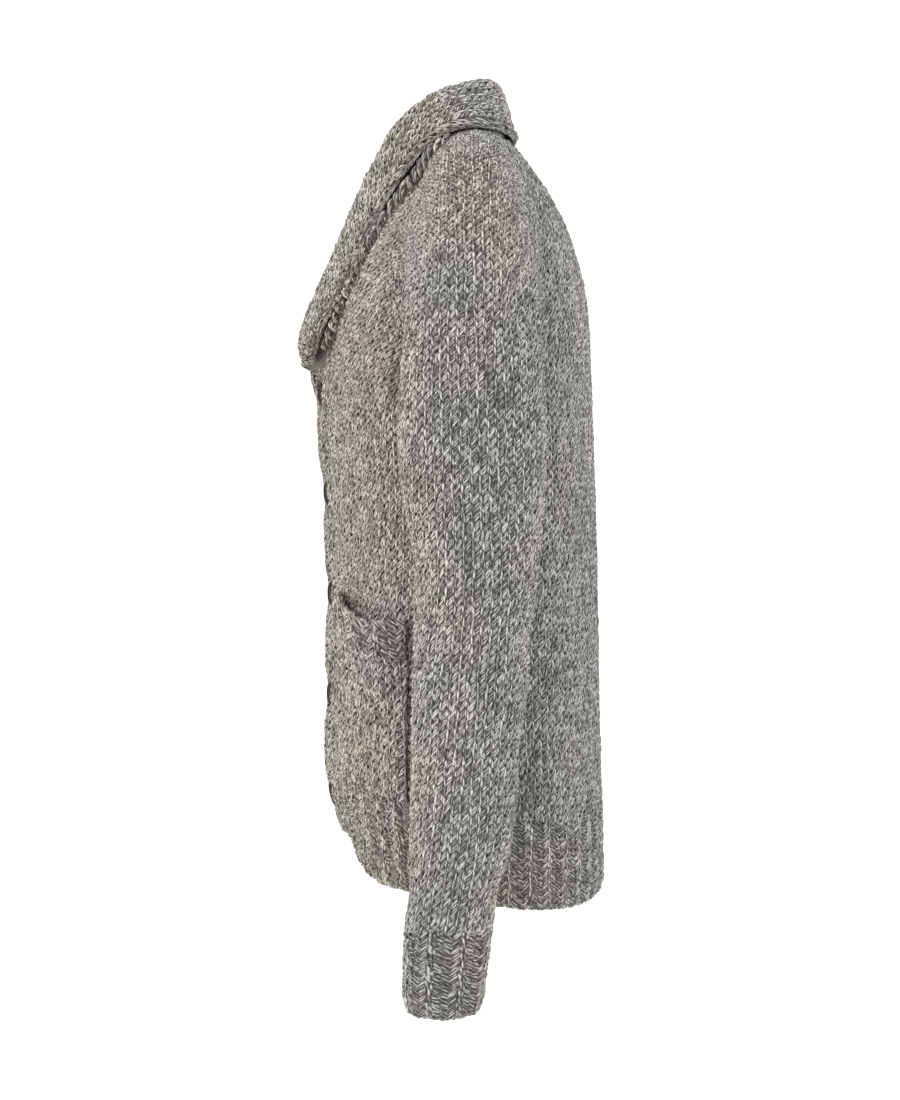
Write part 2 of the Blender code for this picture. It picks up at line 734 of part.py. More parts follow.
def hem(name, start, end, ribs, knots):
    """A ribbed hem between two angles, each given low and high on it.

    Its upper edge is straight between the knots.
    """
    share, raised = rib_columns(ribs)
    low_phi = start[0] + (end[0] - start[0]) * share
    top_phi = start[1] + (end[1] - start[1]) * share
    phi = np.array([low_phi, low_phi, top_phi])
    low = hem_z(folded(phi[0]), 1)
    top = np.interp(phi[2], knots[:, 0], knots[:, 1])
    z = low[None] + (top - low)[None] * RIB_LEVELS[:, None]
    base = torso(folded(phi), z)
    if name == "hem_front_left":
        base = forward(base)
    normals = unit(grid_normals(base, False))
    if name == "hem_front_left":
        square_column(normals, 0, len(RIB_LEVELS))
    if name == "hem_front_right":
        square_column(normals, -1, len(RIB_LEVELS))
    for row in range(len(RIB_LEVELS)):
        level_row(normals, row)
    ribbed(name, base, normals, raised, ("top", "left", "right"))


def folded(phi):
    return np.where(phi > math.pi, phi - 2 * math.pi, phi)


def cuff(name, side):
    share, raised = rib_columns(CUFF_RIBS)
    # The last column closes the tube on the first one.
    share = np.append(share[:-1], 1.0)
    theta = math.pi + 2 * math.pi * share
    # The outer side of the cuff hangs slightly lower than the inner side.
    low = CUFF_BOTTOM_Z - 0.004 * np.cos(theta)
    z = low[None] + (CUFF_TOP_Z - low[None]) * RIB_LEVELS[:, None]
    base = sleeve_ring(np.repeat(theta[None], len(RIB_LEVELS), axis=0), z)
    if side < 0:
        base = mirrored(base)
        raised = raised[::-1]
    normals = unit(grid_normals(base, True))
    level_row(normals, len(RIB_LEVELS) - 1)
    ribbed(name, base, normals, raised, ("top",), True)


def band_rows(low):
    """Heights of a band's rows: its lower edge, and five rows for each button's seat."""
    rows = [low, low + 0.006, BREAK_Z]
    for level in BUTTON_Z:
        rows += [level + step for step in SEAT_ROWS if level + step < BREAK_Z]
    return np.sort(np.array(rows))


BAND_CREST = np.array([0.0, 0.10, 0.24, 0.36, 0.50, 0.64, 0.76, 0.90, 1.0])
BAND_RAISED = np.array([0.3, 1.0, 1.0, 0.0, 1.0, 0.0, 1.0, 1.0, 0.3])
BAND_RELIEF = 0.0010
SEAT_ROWS = (-0.024, -0.0095, 0.0, 0.0095, 0.024)


def band(name, seam_x, edge_x, seam_z):
    """A button band, ribbed along its length, from the hem to the break."""
    left = seam_x > edge_x
    x = seam_x + (edge_x - seam_x) * BAND_CREST
    x = np.sort(x)
    z_low = hem_z(phi_at(x, HEM_LOW_Z), 1)
    share = (seam_z - seam_z[0]) / (BREAK_Z - seam_z[0])
    z = z_low[None] + (BREAK_Z - z_low)[None] * share[:, None]
    base = torso(phi_at(np.repeat(x[None], len(seam_z), axis=0), z), z)
    if left:
        base = forward(base)
    normals = unit(grid_normals(base, False))
    square_column(normals, -1 if left else 0, len(seam_z))
    level_row(normals, len(seam_z) - 1)
    outer = inset(base, normals, ("top", "right") if left else ("top", "left"))
    relief = BAND_RELIEF * BAND_RAISED[None] * (1.0 - seat(base[..., 0], base[..., 2]))
    if not left:
        relief = 0.0 * relief
    stitch(name, outer + normals * relief[..., None], outer - WALL * normals, "rib")
    return base, normals


# ---------------------------------------------------------------- collar
def bezier(a, b, c, d, count):
    t = np.linspace(0.0, 1.0, count + 1)[:, None]
    return (1 - t) ** 3 * a + 3 * t * (1 - t) ** 2 * b + 3 * t * t * (1 - t) * c + t**3 * d


def seam_path(panels, normals, left):
    """Half of the neckline from the break to the centre back, with the walls' directions."""
    front = "front_left" if left else "front_right"
    sleeve = "sleeve_left" if left else "sleeve_right"
    places = []
    for grid in (panels, normals):
        slant = grid[front][BAND_ROWS:, 0 if left else -1]
        over = grid[sleeve][-1]
        over = over if left else over[::-1]
        over = over[RAGLAN_STEPS : RAGLAN_STEPS + NECK_STEPS + 1]
        behind = grid["back"][-1]
        behind = behind if left else behind[::-1]
        behind = behind[RAGLAN_STEPS : RAGLAN_STEPS + BACK_NECK_STEPS + 1]
        places.append(np.vstack([slant[:-1], over, behind[1:]]))
    path, facing = places
    fine_path = [path[0]]
    fine_facing = [facing[0]]
    for k in range(len(path) - 1):
        steps = SLANT_STEPS[k] if k < len(SLANT_STEPS) else 1
        for step in range(1, steps + 1):
            t = step / steps
            fine_path.append(path[k] * (1 - t) + path[k + 1] * t)
            fine_facing.append(facing[k] * (1 - t) + facing[k + 1] * t)
    return np.array(fine_path), unit(np.array(fine_facing))


def along_keys(points, keys):
    """Points of a smooth curve at shares, from 0 to 1, of its length."""
    fine = along(points, 400)
    at = np.linspace(0.0, 1.0, 401)
    return np.column_stack([np.interp(keys, at, fine[:, k]) for k in range(points.shape[1])])


def collar_half(panels, normals, left):
    """Sections of one half of the collar, each from the seam over the roll to the free edge."""
    seam, facing = seam_path(panels, normals, left)
    flip = np.array([1.0 if left else -1.0, 1.0, 1.0])
    roll_start = ROLL_START_LEFT if left else ROLL_START_RIGHT
    edge_start = EDGE_START_LEFT if left else EDGE_START_RIGHT
    walked = np.concatenate([[0.0], np.cumsum(np.linalg.norm(np.diff(seam, axis=0), axis=1))])
    keys = walked / walked[-1]
    roll_rows = np.vstack([off_strip(roll_start, left), ROLL])
    edge_rows = np.vstack([off_strip(edge_start, left), EDGE])
    paired = along_keys(np.hstack([roll_rows, edge_rows]), keys)
    roll = paired[:, :3] * flip
    edge = paired[:, 3:] * flip
    run = unit(np.gradient(seam, axis=0))
    roll_run = unit(np.gradient(roll, axis=0))
    sections = []
    for k in range(len(seam)):
        n = facing[k]
        inward = unit(np.cross(n, run[k]))
        if np.dot(inward, roll[k] - seam[k]) < 0:
            inward = -inward
        foot = seam[k] - n * WALL / 2 + inward * SEAM / 2
        over = unit(n - roll_run[k] * np.dot(n, roll_run[k]))
        far = np.linalg.norm(roll[k] - foot)
        stand = bezier(foot, foot + inward * 0.45 * far, roll[k] - over * TURN, roll[k], 24)
        fall_far = np.linalg.norm(edge[k] - roll[k])
        turn = min(TURN * 1.6, 0.5 * fall_far)
        away = unit(edge[k] - roll[k])
        fall = bezier(roll[k], roll[k] + over * turn, edge[k] - away * 0.35 * fall_far, edge[k], 24)
        start = ease(walked[k] / 0.055)
        if start < 1.0:
            level = flat_strip(foot, roll[k], left)
            stand = (1 - start) * level + start * stand
            fade = np.linspace(1.0, 0.0, len(fall))[:, None]
            fall = fall + (stand[-1] - fall[0]) * fade
        whole = even(np.vstack([stand, fall[1:]]), COLLAR_ACROSS)
        turned = ease((fall_far - CURL_UP_TO) / CURL_UP_TO)
        if turned < 1.0:
            curl = curled(foot, roll[k], over, fall_far, left)
            whole = turned * whole + (1 - turned) * even(curl, COLLAR_ACROSS)
        sections.append(whole)
    return np.array(sections), facing


def curled(foot, roll, over, fall, left):
    """A section whose edge has only begun to turn: the flat strip, then an arc."""
    across = unit(roll - foot)
    across = unit(across - over * np.dot(across, over))
    reach = min(fall / 2, CURL_RADIUS)
    start = roll - across * reach
    length = reach + fall
    walked = np.linspace(0.0, length, 13)[1:]
    angle = np.minimum(walked / CURL_RADIUS, CURL_MOST)
    rest = np.maximum(walked - CURL_RADIUS * CURL_MOST, 0.0)
    ahead = CURL_RADIUS * np.sin(angle) + rest * np.cos(angle)
    up = CURL_RADIUS * (1 - np.cos(angle)) + rest * np.sin(angle)
    arc = start + ahead[:, None] * across + up[:, None] * over
    return np.vstack([flat_strip(foot, start, left), arc])


def strip_centre(x, z, left):
    """Middle of the wall where the strip lies as flat as a band does."""
    outer = torso(phi_at(x, z), z)
    if left:
        outer = forward(outer)
    return outer - torso_normal(phi_at(x, z), z) * WALL / 2


def off_strip(rows, left):
    """World places of a start table, in the left half's coordinates."""
    x = rows[:, 0] if left else -rows[:, 0]
    y = strip_centre(x, rows[:, 2], left)[:, 1] - rows[:, 1]
    return np.column_stack([rows[:, 0], y, rows[:, 2]])


def flat_strip(foot, edge, left):
    """The strip from its seam to its edge, flat but for its edge's own place."""
    x = np.linspace(foot[0], edge[0], 25)
    z = np.linspace(foot[2], edge[2], 25)
    strip = strip_centre(x, z, left)
    share = np.linspace(0.0, 1.0, 25)
    strip[:, 2] = z
    strip = strip + (foot - strip[0]) * ((1 - share) ** 2)[:, None]
    return strip + (edge - strip[-1]) * (share**2)[:, None]


def even(points, count):
    walked = np.concatenate([[0.0], np.cumsum(np.linalg.norm(np.diff(points, axis=0), axis=1))])
    wanted = np.linspace(0.0, walked[-1], count + 1)
    return np.column_stack([np.interp(wanted, walked, points[:, k]) for k in range(3)])


LAY_REACH = 0.020  # beyond this the collar isn't lying on what is nearest
LAY_ASIDE = 0.002  # and no more than this past the surface's rim


def laid(grid, surface, need):
    """The grid's points lifted off a surface wherever they come nearer to it than need."""
    out = grid.copy()
    for index in np.ndindex(grid.shape[:2]):
        if index[1] < COLLAR_ACROSS // 2:
            continue
        point = Vector(out[index])
        place, normal, face, distance = surface.find_nearest(point)
        off = (point - place).dot(normal)
        aside = (point - place - off * normal).length
        if off < need and distance < LAY_REACH and aside < LAY_ASIDE:
            out[index] = out[index] + np.array(normal) * (need - off)
    return out


def outer_surface(grids):
    verts = []
    faces = []
    for points in grids:
        first = len(verts)
        rows, columns = points.shape[:2]
        verts += [Vector(p) for p in points.reshape(-1, 3)]
        for r in range(rows - 1):
            for c in range(columns - 1):
                a = first + r * columns + c
                faces.append((a, a + 1, a + columns + 1, a + columns))
    return BVHTree.FromPolygons(verts, faces)


def build_collar(panels, panel_normals):
    surface = outer_surface(panels.values())
    left, left_facing = collar_half(panels, panel_normals, True)
    right, right_facing = collar_half(panels, panel_normals, False)
    middle = 0.5 * (left[-1] + right[-1])
    centre = np.concatenate([left[:-1], middle[None], right[:-1][::-1]])
    facing = np.concatenate([left_facing, right_facing[:-1][::-1]])
    centre = laid(centre, surface, WALL / 2 + REST)
    normals = unit(grid_normals(centre, False))
    level_row(normals, 0)
    level_row(normals, len(normals) - 1)
    side = np.sign((normals[:, 0] * facing).sum(-1, keepdims=True))
    normals[:, 0] = facing * side
    level_row(normals, 0)
    level_row(normals, len(normals) - 1)
    centre = inset(centre, normals, ("bottom", "top"))
    stitch("collar", centre + normals * WALL / 2, centre - normals * WALL / 2, "knit")
    return centre


# ---------------------------------------------------------------- pockets and buttons
def pocket(side):
    """A patch pocket and its ribbed top band, bulging off the front at the open top."""
    inner_phi = phi_at(POCKET_INNER_X, -0.48)
    u = np.linspace(0.0, 1.0, POCKET_COLUMNS + 1)
    phi = inner_phi + (POCKET_OUTER_PHI - inner_phi) * u
    low = hem_z(phi, 2) + REST
    top = POCKET_TOP_INNER + (POCKET_TOP_OUTER - POCKET_TOP_INNER) * ease(u * 1.4)
    v = np.linspace(0.0, 1.0, POCKET_ROWS + 1)[:, None]
    seam_z = top - POCKET_BAND
    z = np.vstack([low + (seam_z - low) * v, seam_z + POCKET_BAND * POCKET_BAND_LEVELS[1:, None]])
    wide = np.repeat(phi[None], len(z), axis=0)
    share = (z - low) / (top - low)
    gap = POCKET_BULGE * np.sin(math.pi * u)[None] ** 0.8 * share**1.6
    base = torso(wide, z) + torso_normal(wide, z) * (REST + WALL + gap)[..., None]
    if side < 0:
        base = mirrored(base)
    else:
        base = forward(base)
    normals = unit(grid_normals(base, False))
    level_row(normals, POCKET_ROWS)
    tag = "left" if side > 0 else "right"
    bag = inset(base[: POCKET_ROWS + 1], normals[: POCKET_ROWS + 1], ("top",))
    stitch("pocket_" + tag, bag, bag - WALL * normals[: POCKET_ROWS + 1], "knit")
    share, raised = rib_columns(POCKET_RIBS, POCKET_RIB_STEPS)
    cut = inset(base[POCKET_ROWS:], normals[POCKET_ROWS:], ("bottom",))
    cut = between_columns(cut, share)
    cut_normals = between_columns(normals[POCKET_ROWS:], share)
    relief = RIB_RELIEF * raised[None, :, None] * [[[0.6]], [[0.8]], [[0.4]]]
    stitch("pocket_band_" + tag, cut + cut_normals * relief, cut - WALL * cut_normals, "rib")


def between_columns(grid, share):
    """The grid's rows read at other shares of their width, straight between their points."""
    at = share * (grid.shape[1] - 1)
    left = np.minimum(at.astype(int), grid.shape[1] - 2)
    part = (at - left)[None, :, None]
    return grid[:, left] * (1 - part) + grid[:, left + 1] * part


def button_mesh():
    """A turned button with a raised rim, a dished front and four holes."""
    r = BUTTON_RADIUS
    t = BUTTON_THICK
    profile = ((0.90 * r, 0.0), (r, 0.3 * t), (r, 0.7 * t), (0.86 * r, t), (0.66 * r, 0.72 * t))
    points = [(0.0, 0.0, 0.0)]
    faces = []
    n = BUTTON_SIDES
    for radius, height in profile:
        for k in range(n):
            angle = 2 * math.pi * k / n
            points.append((radius * math.cos(angle), radius * math.sin(angle), height))
    points.append((0.0, 0.0, 0.66 * t))
    for k in range(n):
        faces.append((0, 1 + (k + 1) % n, 1 + k))
        last = 1 + (len(profile) - 1) * n
        faces.append((last + k, last + (k + 1) % n, len(points) - 1))
        for ring in range(len(profile) - 1):
            a = 1 + ring * n
            faces.append((a + k, a + (k + 1) % n, a + n + (k + 1) % n, a + n + k))
    return points, faces


def button(name, centre, normal):
    points, faces = button_mesh()
    piece = make(name, points, faces, "button")
    cutter = bpy.data.objects.get("button_holes")
    if cutter is None:
        cutter = hole_cutter()
    drill = piece.modifiers.new("holes", "BOOLEAN")
    drill.object = cutter
    drill.operation = "DIFFERENCE"
    dressed = bpy.data.meshes.new_from_object(
        piece.evaluated_get(bpy.context.evaluated_depsgraph_get())
    )
    piece.modifiers.clear()
    piece.data = dressed
    piece.location = Vector(centre)
    piece.rotation_euler = Vector(normal).to_track_quat("Z", "Y").to_euler()


def hole_cutter():
    points = []
    faces = []
    sides = 6
    for x, y in ((1, 1), (-1, 1), (-1, -1), (1, -1)):
        first = len(points)
        for height in (-0.002, BUTTON_THICK + 0.002):
            for k in range(sides):
                angle = 2 * math.pi * k / sides
                points.append(
                    (
                        x * BUTTON_HOLE_AT + BUTTON_HOLE * math.cos(angle),
                        y * BUTTON_HOLE_AT + BUTTON_HOLE * math.sin(angle),
                        height,
                    )
                )
        faces.append(tuple(first + k for k in range(sides))[::-1])
        faces.append(tuple(first + sides + k for k in range(sides)))
        for k in range(sides):
            a = first + k
            b = first + (k + 1) % sides
            faces.append((a, b, b + sides, a + sides))
    cutter = make("button_holes", points, faces, "button")
    cutter.hide_render = True
    cutter.display_type = "WIRE"
    return cutter


def build_buttons():
    for k, z in enumerate(BUTTON_Z):
        x = np.array([BUTTON_X])
        level = np.array([z])
        phi = phi_at(x, level)
        place = forward(torso(phi, level))[0]
        normal = torso_normal(phi, level)[0]
        off = place + normal * BUTTON_STAND
        button(f"button_{k + 1}", off, normal)


def clear():
    for thing in list(bpy.data.objects):
        bpy.data.objects.remove(thing, do_unlink=True)


def main():
    clear()
    panels, normals = build_panels()
    left = front_grid(BAND_SEAM_LEFT)
    right = front_grid(-BAND_SEAM_RIGHT)
    back = back_grid(BACK_ROWS)
    side = math.pi / 2
    mirror = right[0] * [-1.0, 1.0]
    left_band = [phi_at(BAND_SEAM_LEFT, z) for z in (HEM_LOW_Z, HEM_TOP_Z)]
    right_band = [phi_at(BAND_SEAM_RIGHT, z) for z in (HEM_LOW_Z, HEM_TOP_Z)]
    hem("hem_back", [side, side], [3 * side, 3 * side], HEM_RIBS_BACK, back[0])
    hem("hem_front_left", left_band, [side, side], HEM_RIBS_FRONT, left[0])
    hem("hem_front_right", [-side, -side], right_band, HEM_RIBS_FRONT, mirror[::-1])
    cuff("cuff_left", 1)
    cuff("cuff_right", -1)
    sides = (
        ("band_left", BAND_SEAM_LEFT, BAND_EDGE_LEFT),
        ("band_right", BAND_SEAM_RIGHT, BAND_EDGE_RIGHT),
    )
    for name, seam_x, edge_x in sides:
        low = float(hem_z(phi_at(seam_x, HEM_LOW_Z), 1))
        band(name, seam_x, edge_x, band_rows(low))
    build_collar(panels, normals)
    pocket(1)
    pocket(-1)
    build_buttons()


main()
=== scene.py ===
import functools
import math

import bpy
import numpy as np
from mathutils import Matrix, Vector
from mathutils.bvhtree import BVHTree


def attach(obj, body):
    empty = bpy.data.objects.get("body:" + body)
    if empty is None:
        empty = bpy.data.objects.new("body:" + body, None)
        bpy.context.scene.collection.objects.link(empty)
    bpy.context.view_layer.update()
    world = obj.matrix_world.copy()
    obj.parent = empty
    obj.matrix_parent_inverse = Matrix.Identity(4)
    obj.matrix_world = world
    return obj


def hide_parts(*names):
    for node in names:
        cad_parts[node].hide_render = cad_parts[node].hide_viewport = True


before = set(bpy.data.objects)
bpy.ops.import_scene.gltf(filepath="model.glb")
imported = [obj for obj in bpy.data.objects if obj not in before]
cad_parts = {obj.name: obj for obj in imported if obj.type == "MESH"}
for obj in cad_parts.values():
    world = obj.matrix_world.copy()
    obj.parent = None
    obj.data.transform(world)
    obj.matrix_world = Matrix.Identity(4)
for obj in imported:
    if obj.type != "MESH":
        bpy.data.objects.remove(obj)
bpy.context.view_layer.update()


def table(*rows):
    """Rows of numbers, each row in its table's own columns."""
    return np.array(rows)


# ---------------------------------------------------------------- the solids' own sizes, in metres
WALL = 0.0045  # thickness of the chunky knit
SEAM = 0.0003  # gap between neighbouring pieces along a seam
REST = 0.0008  # gap between a layer and what it lies on
RIB_RELIEF = 0.0018  # how far a knit rib stands out of the purl between
HEM_RIBS_BACK = 20
HEM_RIBS_FRONT = 9
HEM_LOW_Z = -0.62  # heights at which the hem meets the button bands
HEM_TOP_Z = -0.55
CUFF_TOP_Z = -0.673
CUFF_BOTTOM_Z = -0.7385
CUFF_RIBS = 8
CUFF_SLANT = 0.004  # how much lower the outer side of a cuff's rim lies than its middle

Y_MID = 0.015  # where the body's front half meets its back half
ROUND_FRONT = 2.1  # how square their sections are; 2 is an ellipse
ROUND_BACK = 2.3
ARM_FLARE = 0.005  # how far the sides widen under the arms
NOSE_DEPTH = 0.007  # the ridge down the button bands
NOSE_WIDTH = 0.026
NOSE_X = -0.008
BAND_SEAM_LEFT = 0.027  # x of the bands' seams and free edges
BAND_EDGE_LEFT = -0.018
BAND_SEAM_RIGHT = -0.023
BAND_EDGE_RIGHT = 0.013
OVERLAP = WALL + REST  # how far ahead of the right side the left band lies
STEP_LOW = 0.0020  # the part of it that the left front takes up beside its band
BREAK_Z = -0.200  # where the neckline starts
NECK_RISE = 0.004  # how far it rises to the centre back
EDGE_LIFT = 0.0065  # how far the left band's free edge lifts below it, and over what stretch
CURL_TALL = 0.045
CURL_EDGE = -0.004
CURL_WIDE = 0.012

BUTTON_Z = (-0.218, -0.308, -0.399, -0.490, -0.580)
BUTTON_X = 0.0045
BUTTON_SEAT = 0.0060  # how deep the bands are drawn in at a button, and how far round it
BUTTON_DRAW = 0.0185

POCKET_INNER_X = 0.072
POCKET_OUTER_PHI = math.radians(66.0)
POCKET_BULGE = 0.013
POCKET_BAND = 0.026
POCKET_TOP_INNER = -0.397
POCKET_TOP_OUTER = -0.421
POCKET_RIBS = 5
POCKET_MIDDLE_Z = -0.48
SLEEVE_RING_Z = -0.315  # the sleeve is a tube up to here, and a cap above
CAP_TILT_LOW = 66.0  # degrees that the cap rises toward its seam, at the underarm and at the neck
CAP_TILT_HIGH = 16.0
CAP_HOLD_ENDS = 0.10  # how closely it follows the body there
CAP_HOLD_MIDDLE = 0.55
CAP_REACH_TUBE = 1.15  # how far it runs straight on from the tube and from the seam
CAP_REACH_SEAM = 1.25
NECK_TOP = (0.0800, 0.0150, 0.0105)  # highest point of its neck edge, which bulges on both sides
NECK_BULGES = ((0.0035, 0.0, 0.0030), (0.0040, 0.0, 0.0018))
GIRTH_RADIUS = 0.160  # turns the raglan seam's angles into lengths

FINE = 3  # how many steps of these grids go to one of the solids' own
FRONT_ROWS = 18 * FINE
BAND_ROWS = 11 * FINE
BACK_ROWS = 18 * FINE
SLEEVE_COLUMNS = 24 * FINE
RAGLAN_STEPS = 10 * FINE
NECK_STEPS = SLEEVE_COLUMNS - 2 * RAGLAN_STEPS
SLEEVE_RINGS = 12 * FINE
CAP_ROWS = 10 * FINE
BACK_NECK_STEPS = 3 * FINE

# Height, half width, and how far the front and the back reach.
BODY = table(
    (-0.680, 0.180, -0.0830, 0.1368), (-0.643, 0.183, -0.0885, 0.1374),
    (-0.628, 0.184, -0.0915, 0.1374), (-0.615, 0.185, -0.0908, 0.1373),
    (-0.596, 0.187, -0.0970, 0.1370), (-0.578, 0.188, -0.0998, 0.1366),
    (-0.520, 0.188, -0.1010, 0.1350), (-0.450, 0.187, -0.1005, 0.1337),
    (-0.378, 0.184, -0.1005, 0.1322), (-0.305, 0.181, -0.1040, 0.1302),
    (-0.233, 0.179, -0.1085, 0.1280), (-0.178, 0.178, -0.1080, 0.1260),
    (-0.139, 0.176, -0.1010, 0.1232), (-0.105, 0.168, -0.0900, 0.1162),
    (-0.069, 0.146, -0.0760, 0.1042), (-0.033, 0.116, -0.0565, 0.0850),
    (-0.010, 0.097, -0.0425, 0.0690), (0.014, 0.082, -0.0280, 0.0480),
)
# Degrees from the centre front, and the heights of the ribbed hem's lower and upper edges.
HEM_LINE = table(
    (0.0, -0.6150, -0.5450), (12.0, -0.6175, -0.5480), (22.0, -0.6260, -0.5530),
    (30.0, -0.6390, -0.5580), (38.0, -0.6460, -0.5630), (60.0, -0.6515, -0.5740),
    (90.0, -0.6590, -0.5830), (115.0, -0.6665, -0.5910), (140.0, -0.6680, -0.5940),
    (160.0, -0.6635, -0.5910), (180.0, -0.6575, -0.5870),
)
# Degrees from the centre front, or the centre back, and height, from the underarm up.
RAGLAN_FRONT = table(
    (90.0, -0.2480), (84.0, -0.2400), (77.5, -0.2120), (70.0, -0.1800), (63.8, -0.1480),
    (60.2, -0.1150), (58.6, -0.0850), (57.8, -0.0500), (57.4, -0.0100),
)
RAGLAN_BACK = table(
    (90.0, -0.2480), (83.0, -0.2400), (75.0, -0.2150), (66.0, -0.1880), (58.5, -0.1560),
    (53.5, -0.1150), (50.0, -0.0750), (47.0, -0.0350), (44.0, 0.0080),
)
# Height and x of the neckline.
V_LINE = table(
    (-0.200, 0.027), (-0.170, 0.0385), (-0.120, 0.0545), (-0.070, 0.0660),
    (-0.030, 0.0755), (-0.010, 0.0800),
)
# Height, the tube's centre in x and y, half width and half depth.
SLEEVE = table(
    (-0.745, 0.2490, -0.0064, 0.0315, 0.0321), (-0.731, 0.2487, -0.0056, 0.0320, 0.0329),
    (-0.686, 0.2475, -0.0026, 0.0340, 0.0351), (-0.650, 0.2465, 0.0016, 0.0365, 0.0367),
    (-0.638, 0.2462, 0.0036, 0.0376, 0.0380), (-0.605, 0.2450, 0.0083, 0.0395, 0.0410),
    (-0.548, 0.2435, 0.0120, 0.0415, 0.0440), (-0.467, 0.2420, 0.0170, 0.0440, 0.0474),
    (-0.401, 0.2400, 0.0207, 0.0455, 0.0496), (-0.368, 0.2390, 0.0210, 0.0460, 0.0525),
    (-0.343, 0.2380, 0.0203, 0.0465, 0.0555), (-0.315, 0.2370, 0.0193, 0.0470, 0.0585),
)
# Soft folds: degrees round, height, depth inward, spread in degrees and in height.
SLEEVE_FOLDS = (
    (275.0, -0.362, 0.0026, 44.0, 0.028), (268.0, -0.405, -0.0012, 34.0, 0.024),
    (100.0, -0.430, 0.0030, 46.0, 0.020), (95.0, -0.520, 0.0025, 40.0, 0.018),
    (265.0, -0.640, 0.0022, 46.0, 0.012), (80.0, -0.636, 0.0030, 50.0, 0.012),
)
BODY_FOLDS = (
    (57.0, -0.245, -0.0022, 5.0, 0.050), (68.0, -0.260, 0.0030, 6.0, 0.070),
    (113.0, -0.290, 0.0030, 7.0, 0.080), (128.0, -0.240, -0.0016, 7.0, 0.090),
    (74.0, -0.480, 0.0022, 9.0, 0.090), (106.0, -0.500, 0.0022, 9.0, 0.100),
)
# The collar's roll and its free edge, in x, y and z, from the front to the centre back.
ROLL = table(
    (0.0175, -0.1312, -0.1660), (0.0235, -0.1245, -0.1480), (0.0310, -0.1150, -0.1270),
    (0.0420, -0.0985, -0.0920), (0.0510, -0.0835, -0.0575), (0.0575, -0.0690, -0.0250),
    (0.0620, -0.0510, 0.0080), (0.0635, -0.0320, 0.0300), (0.0610, -0.0060, 0.0465),
    (0.0505, 0.0190, 0.0565), (0.0295, 0.0335, 0.0600), (0.0000, 0.0390, 0.0602),
)
EDGE = table(
    (0.0560, -0.1150, -0.1680), (0.0680, -0.1060, -0.1500), (0.0770, -0.0960, -0.1310),
    (0.0890, -0.0800, -0.1000), (0.0965, -0.0630, -0.0680), (0.0995, -0.0480, -0.0420),
    (0.1010, -0.0300, -0.0180), (0.1000, -0.0120, 0.0000), (0.0920, 0.0140, 0.0105),
    (0.0760, 0.0385, 0.0115), (0.0440, 0.0540, 0.0100), (0.0000, 0.0592, 0.0095),
)
# Their first points, on the button bands: x, how far ahead of the band, and z.
ROLL_START_LEFT = table(
    (-0.0180, 0.0000, -0.2000), (-0.0140, 0.0000, -0.1960), (-0.0050, 0.0070, -0.1870),
    (0.0070, 0.0165, -0.1780),
)
EDGE_START_LEFT = table(
    (-0.0180, 0.0000, -0.2000), (-0.0112, 0.0015, -0.1966), (0.0110, 0.0085, -0.1945),
    (0.0360, 0.0140, -0.1845),
)
ROLL_START_RIGHT = table(
    (-0.0130, 0.0000, -0.2000), (-0.0040, 0.0000, -0.1950), (0.0065, 0.0005, -0.1885),
    (0.0145, 0.0055, -0.1800),
)
EDGE_START_RIGHT = table(
    (-0.0130, 0.0000, -0.2000), (-0.0040, 0.0000, -0.1950), (0.0095, 0.0025, -0.1900),
    (0.0310, 0.0145, -0.1830),
)
SLANT_STEPS = (4, 4, 3, 2, 2, 2, 1)  # finer steps along the neckline near the break
COLLAR_ACROSS = 12
SECTION_STEPS = 24  # steps of the curves that its sections are made from
STAND_PULL = 0.45  # how straight they leave the seam and reach the edge, as shares of their size
FALL_PULL = 0.35
COLLAR_START = 0.055  # how far from the break the collar leaves the button band
TURN = 0.0065  # how roundly the collar rolls over
CURL_UP_TO = 0.012  # a fall this short curls instead
CURL_RADIUS = 0.0048
CURL_MOST = math.radians(150.0)

# ---------------------------------------------------------------- the knit
WALE = 0.0076  # width and height of one stitch
COURSE = 0.0077
CREST = 0.0008  # how far the yarn stands out of the solid's surface
SUNK = 0.0015  # how far below it the yarn's rims lie
SKIN = 0.0012  # and how far below it the plain cloth behind the yarn lies
RIB_COURSE = 0.0060  # height of a stitch in the hem and the cuffs
RIM_DRAW = 0.0028  # how far the cuff's lower rim is drawn in, and how far above it that starts
RIM_TALL = 0.011
BULGE = 0.0048  # how far the left band swells up beside a button, toward its seam
BULGE_X = (0.0150, 0.0180, 0.0225, 0.0270)
BULGE_TALL = 0.0115
COLLAR_WALE = 0.0086  # width of a stitch across the collar, and how many there are
COLLAR_WALES = 23
BRAID = (0.0044, 0.0100)  # the braid along the collar's free edge: where it starts, its width

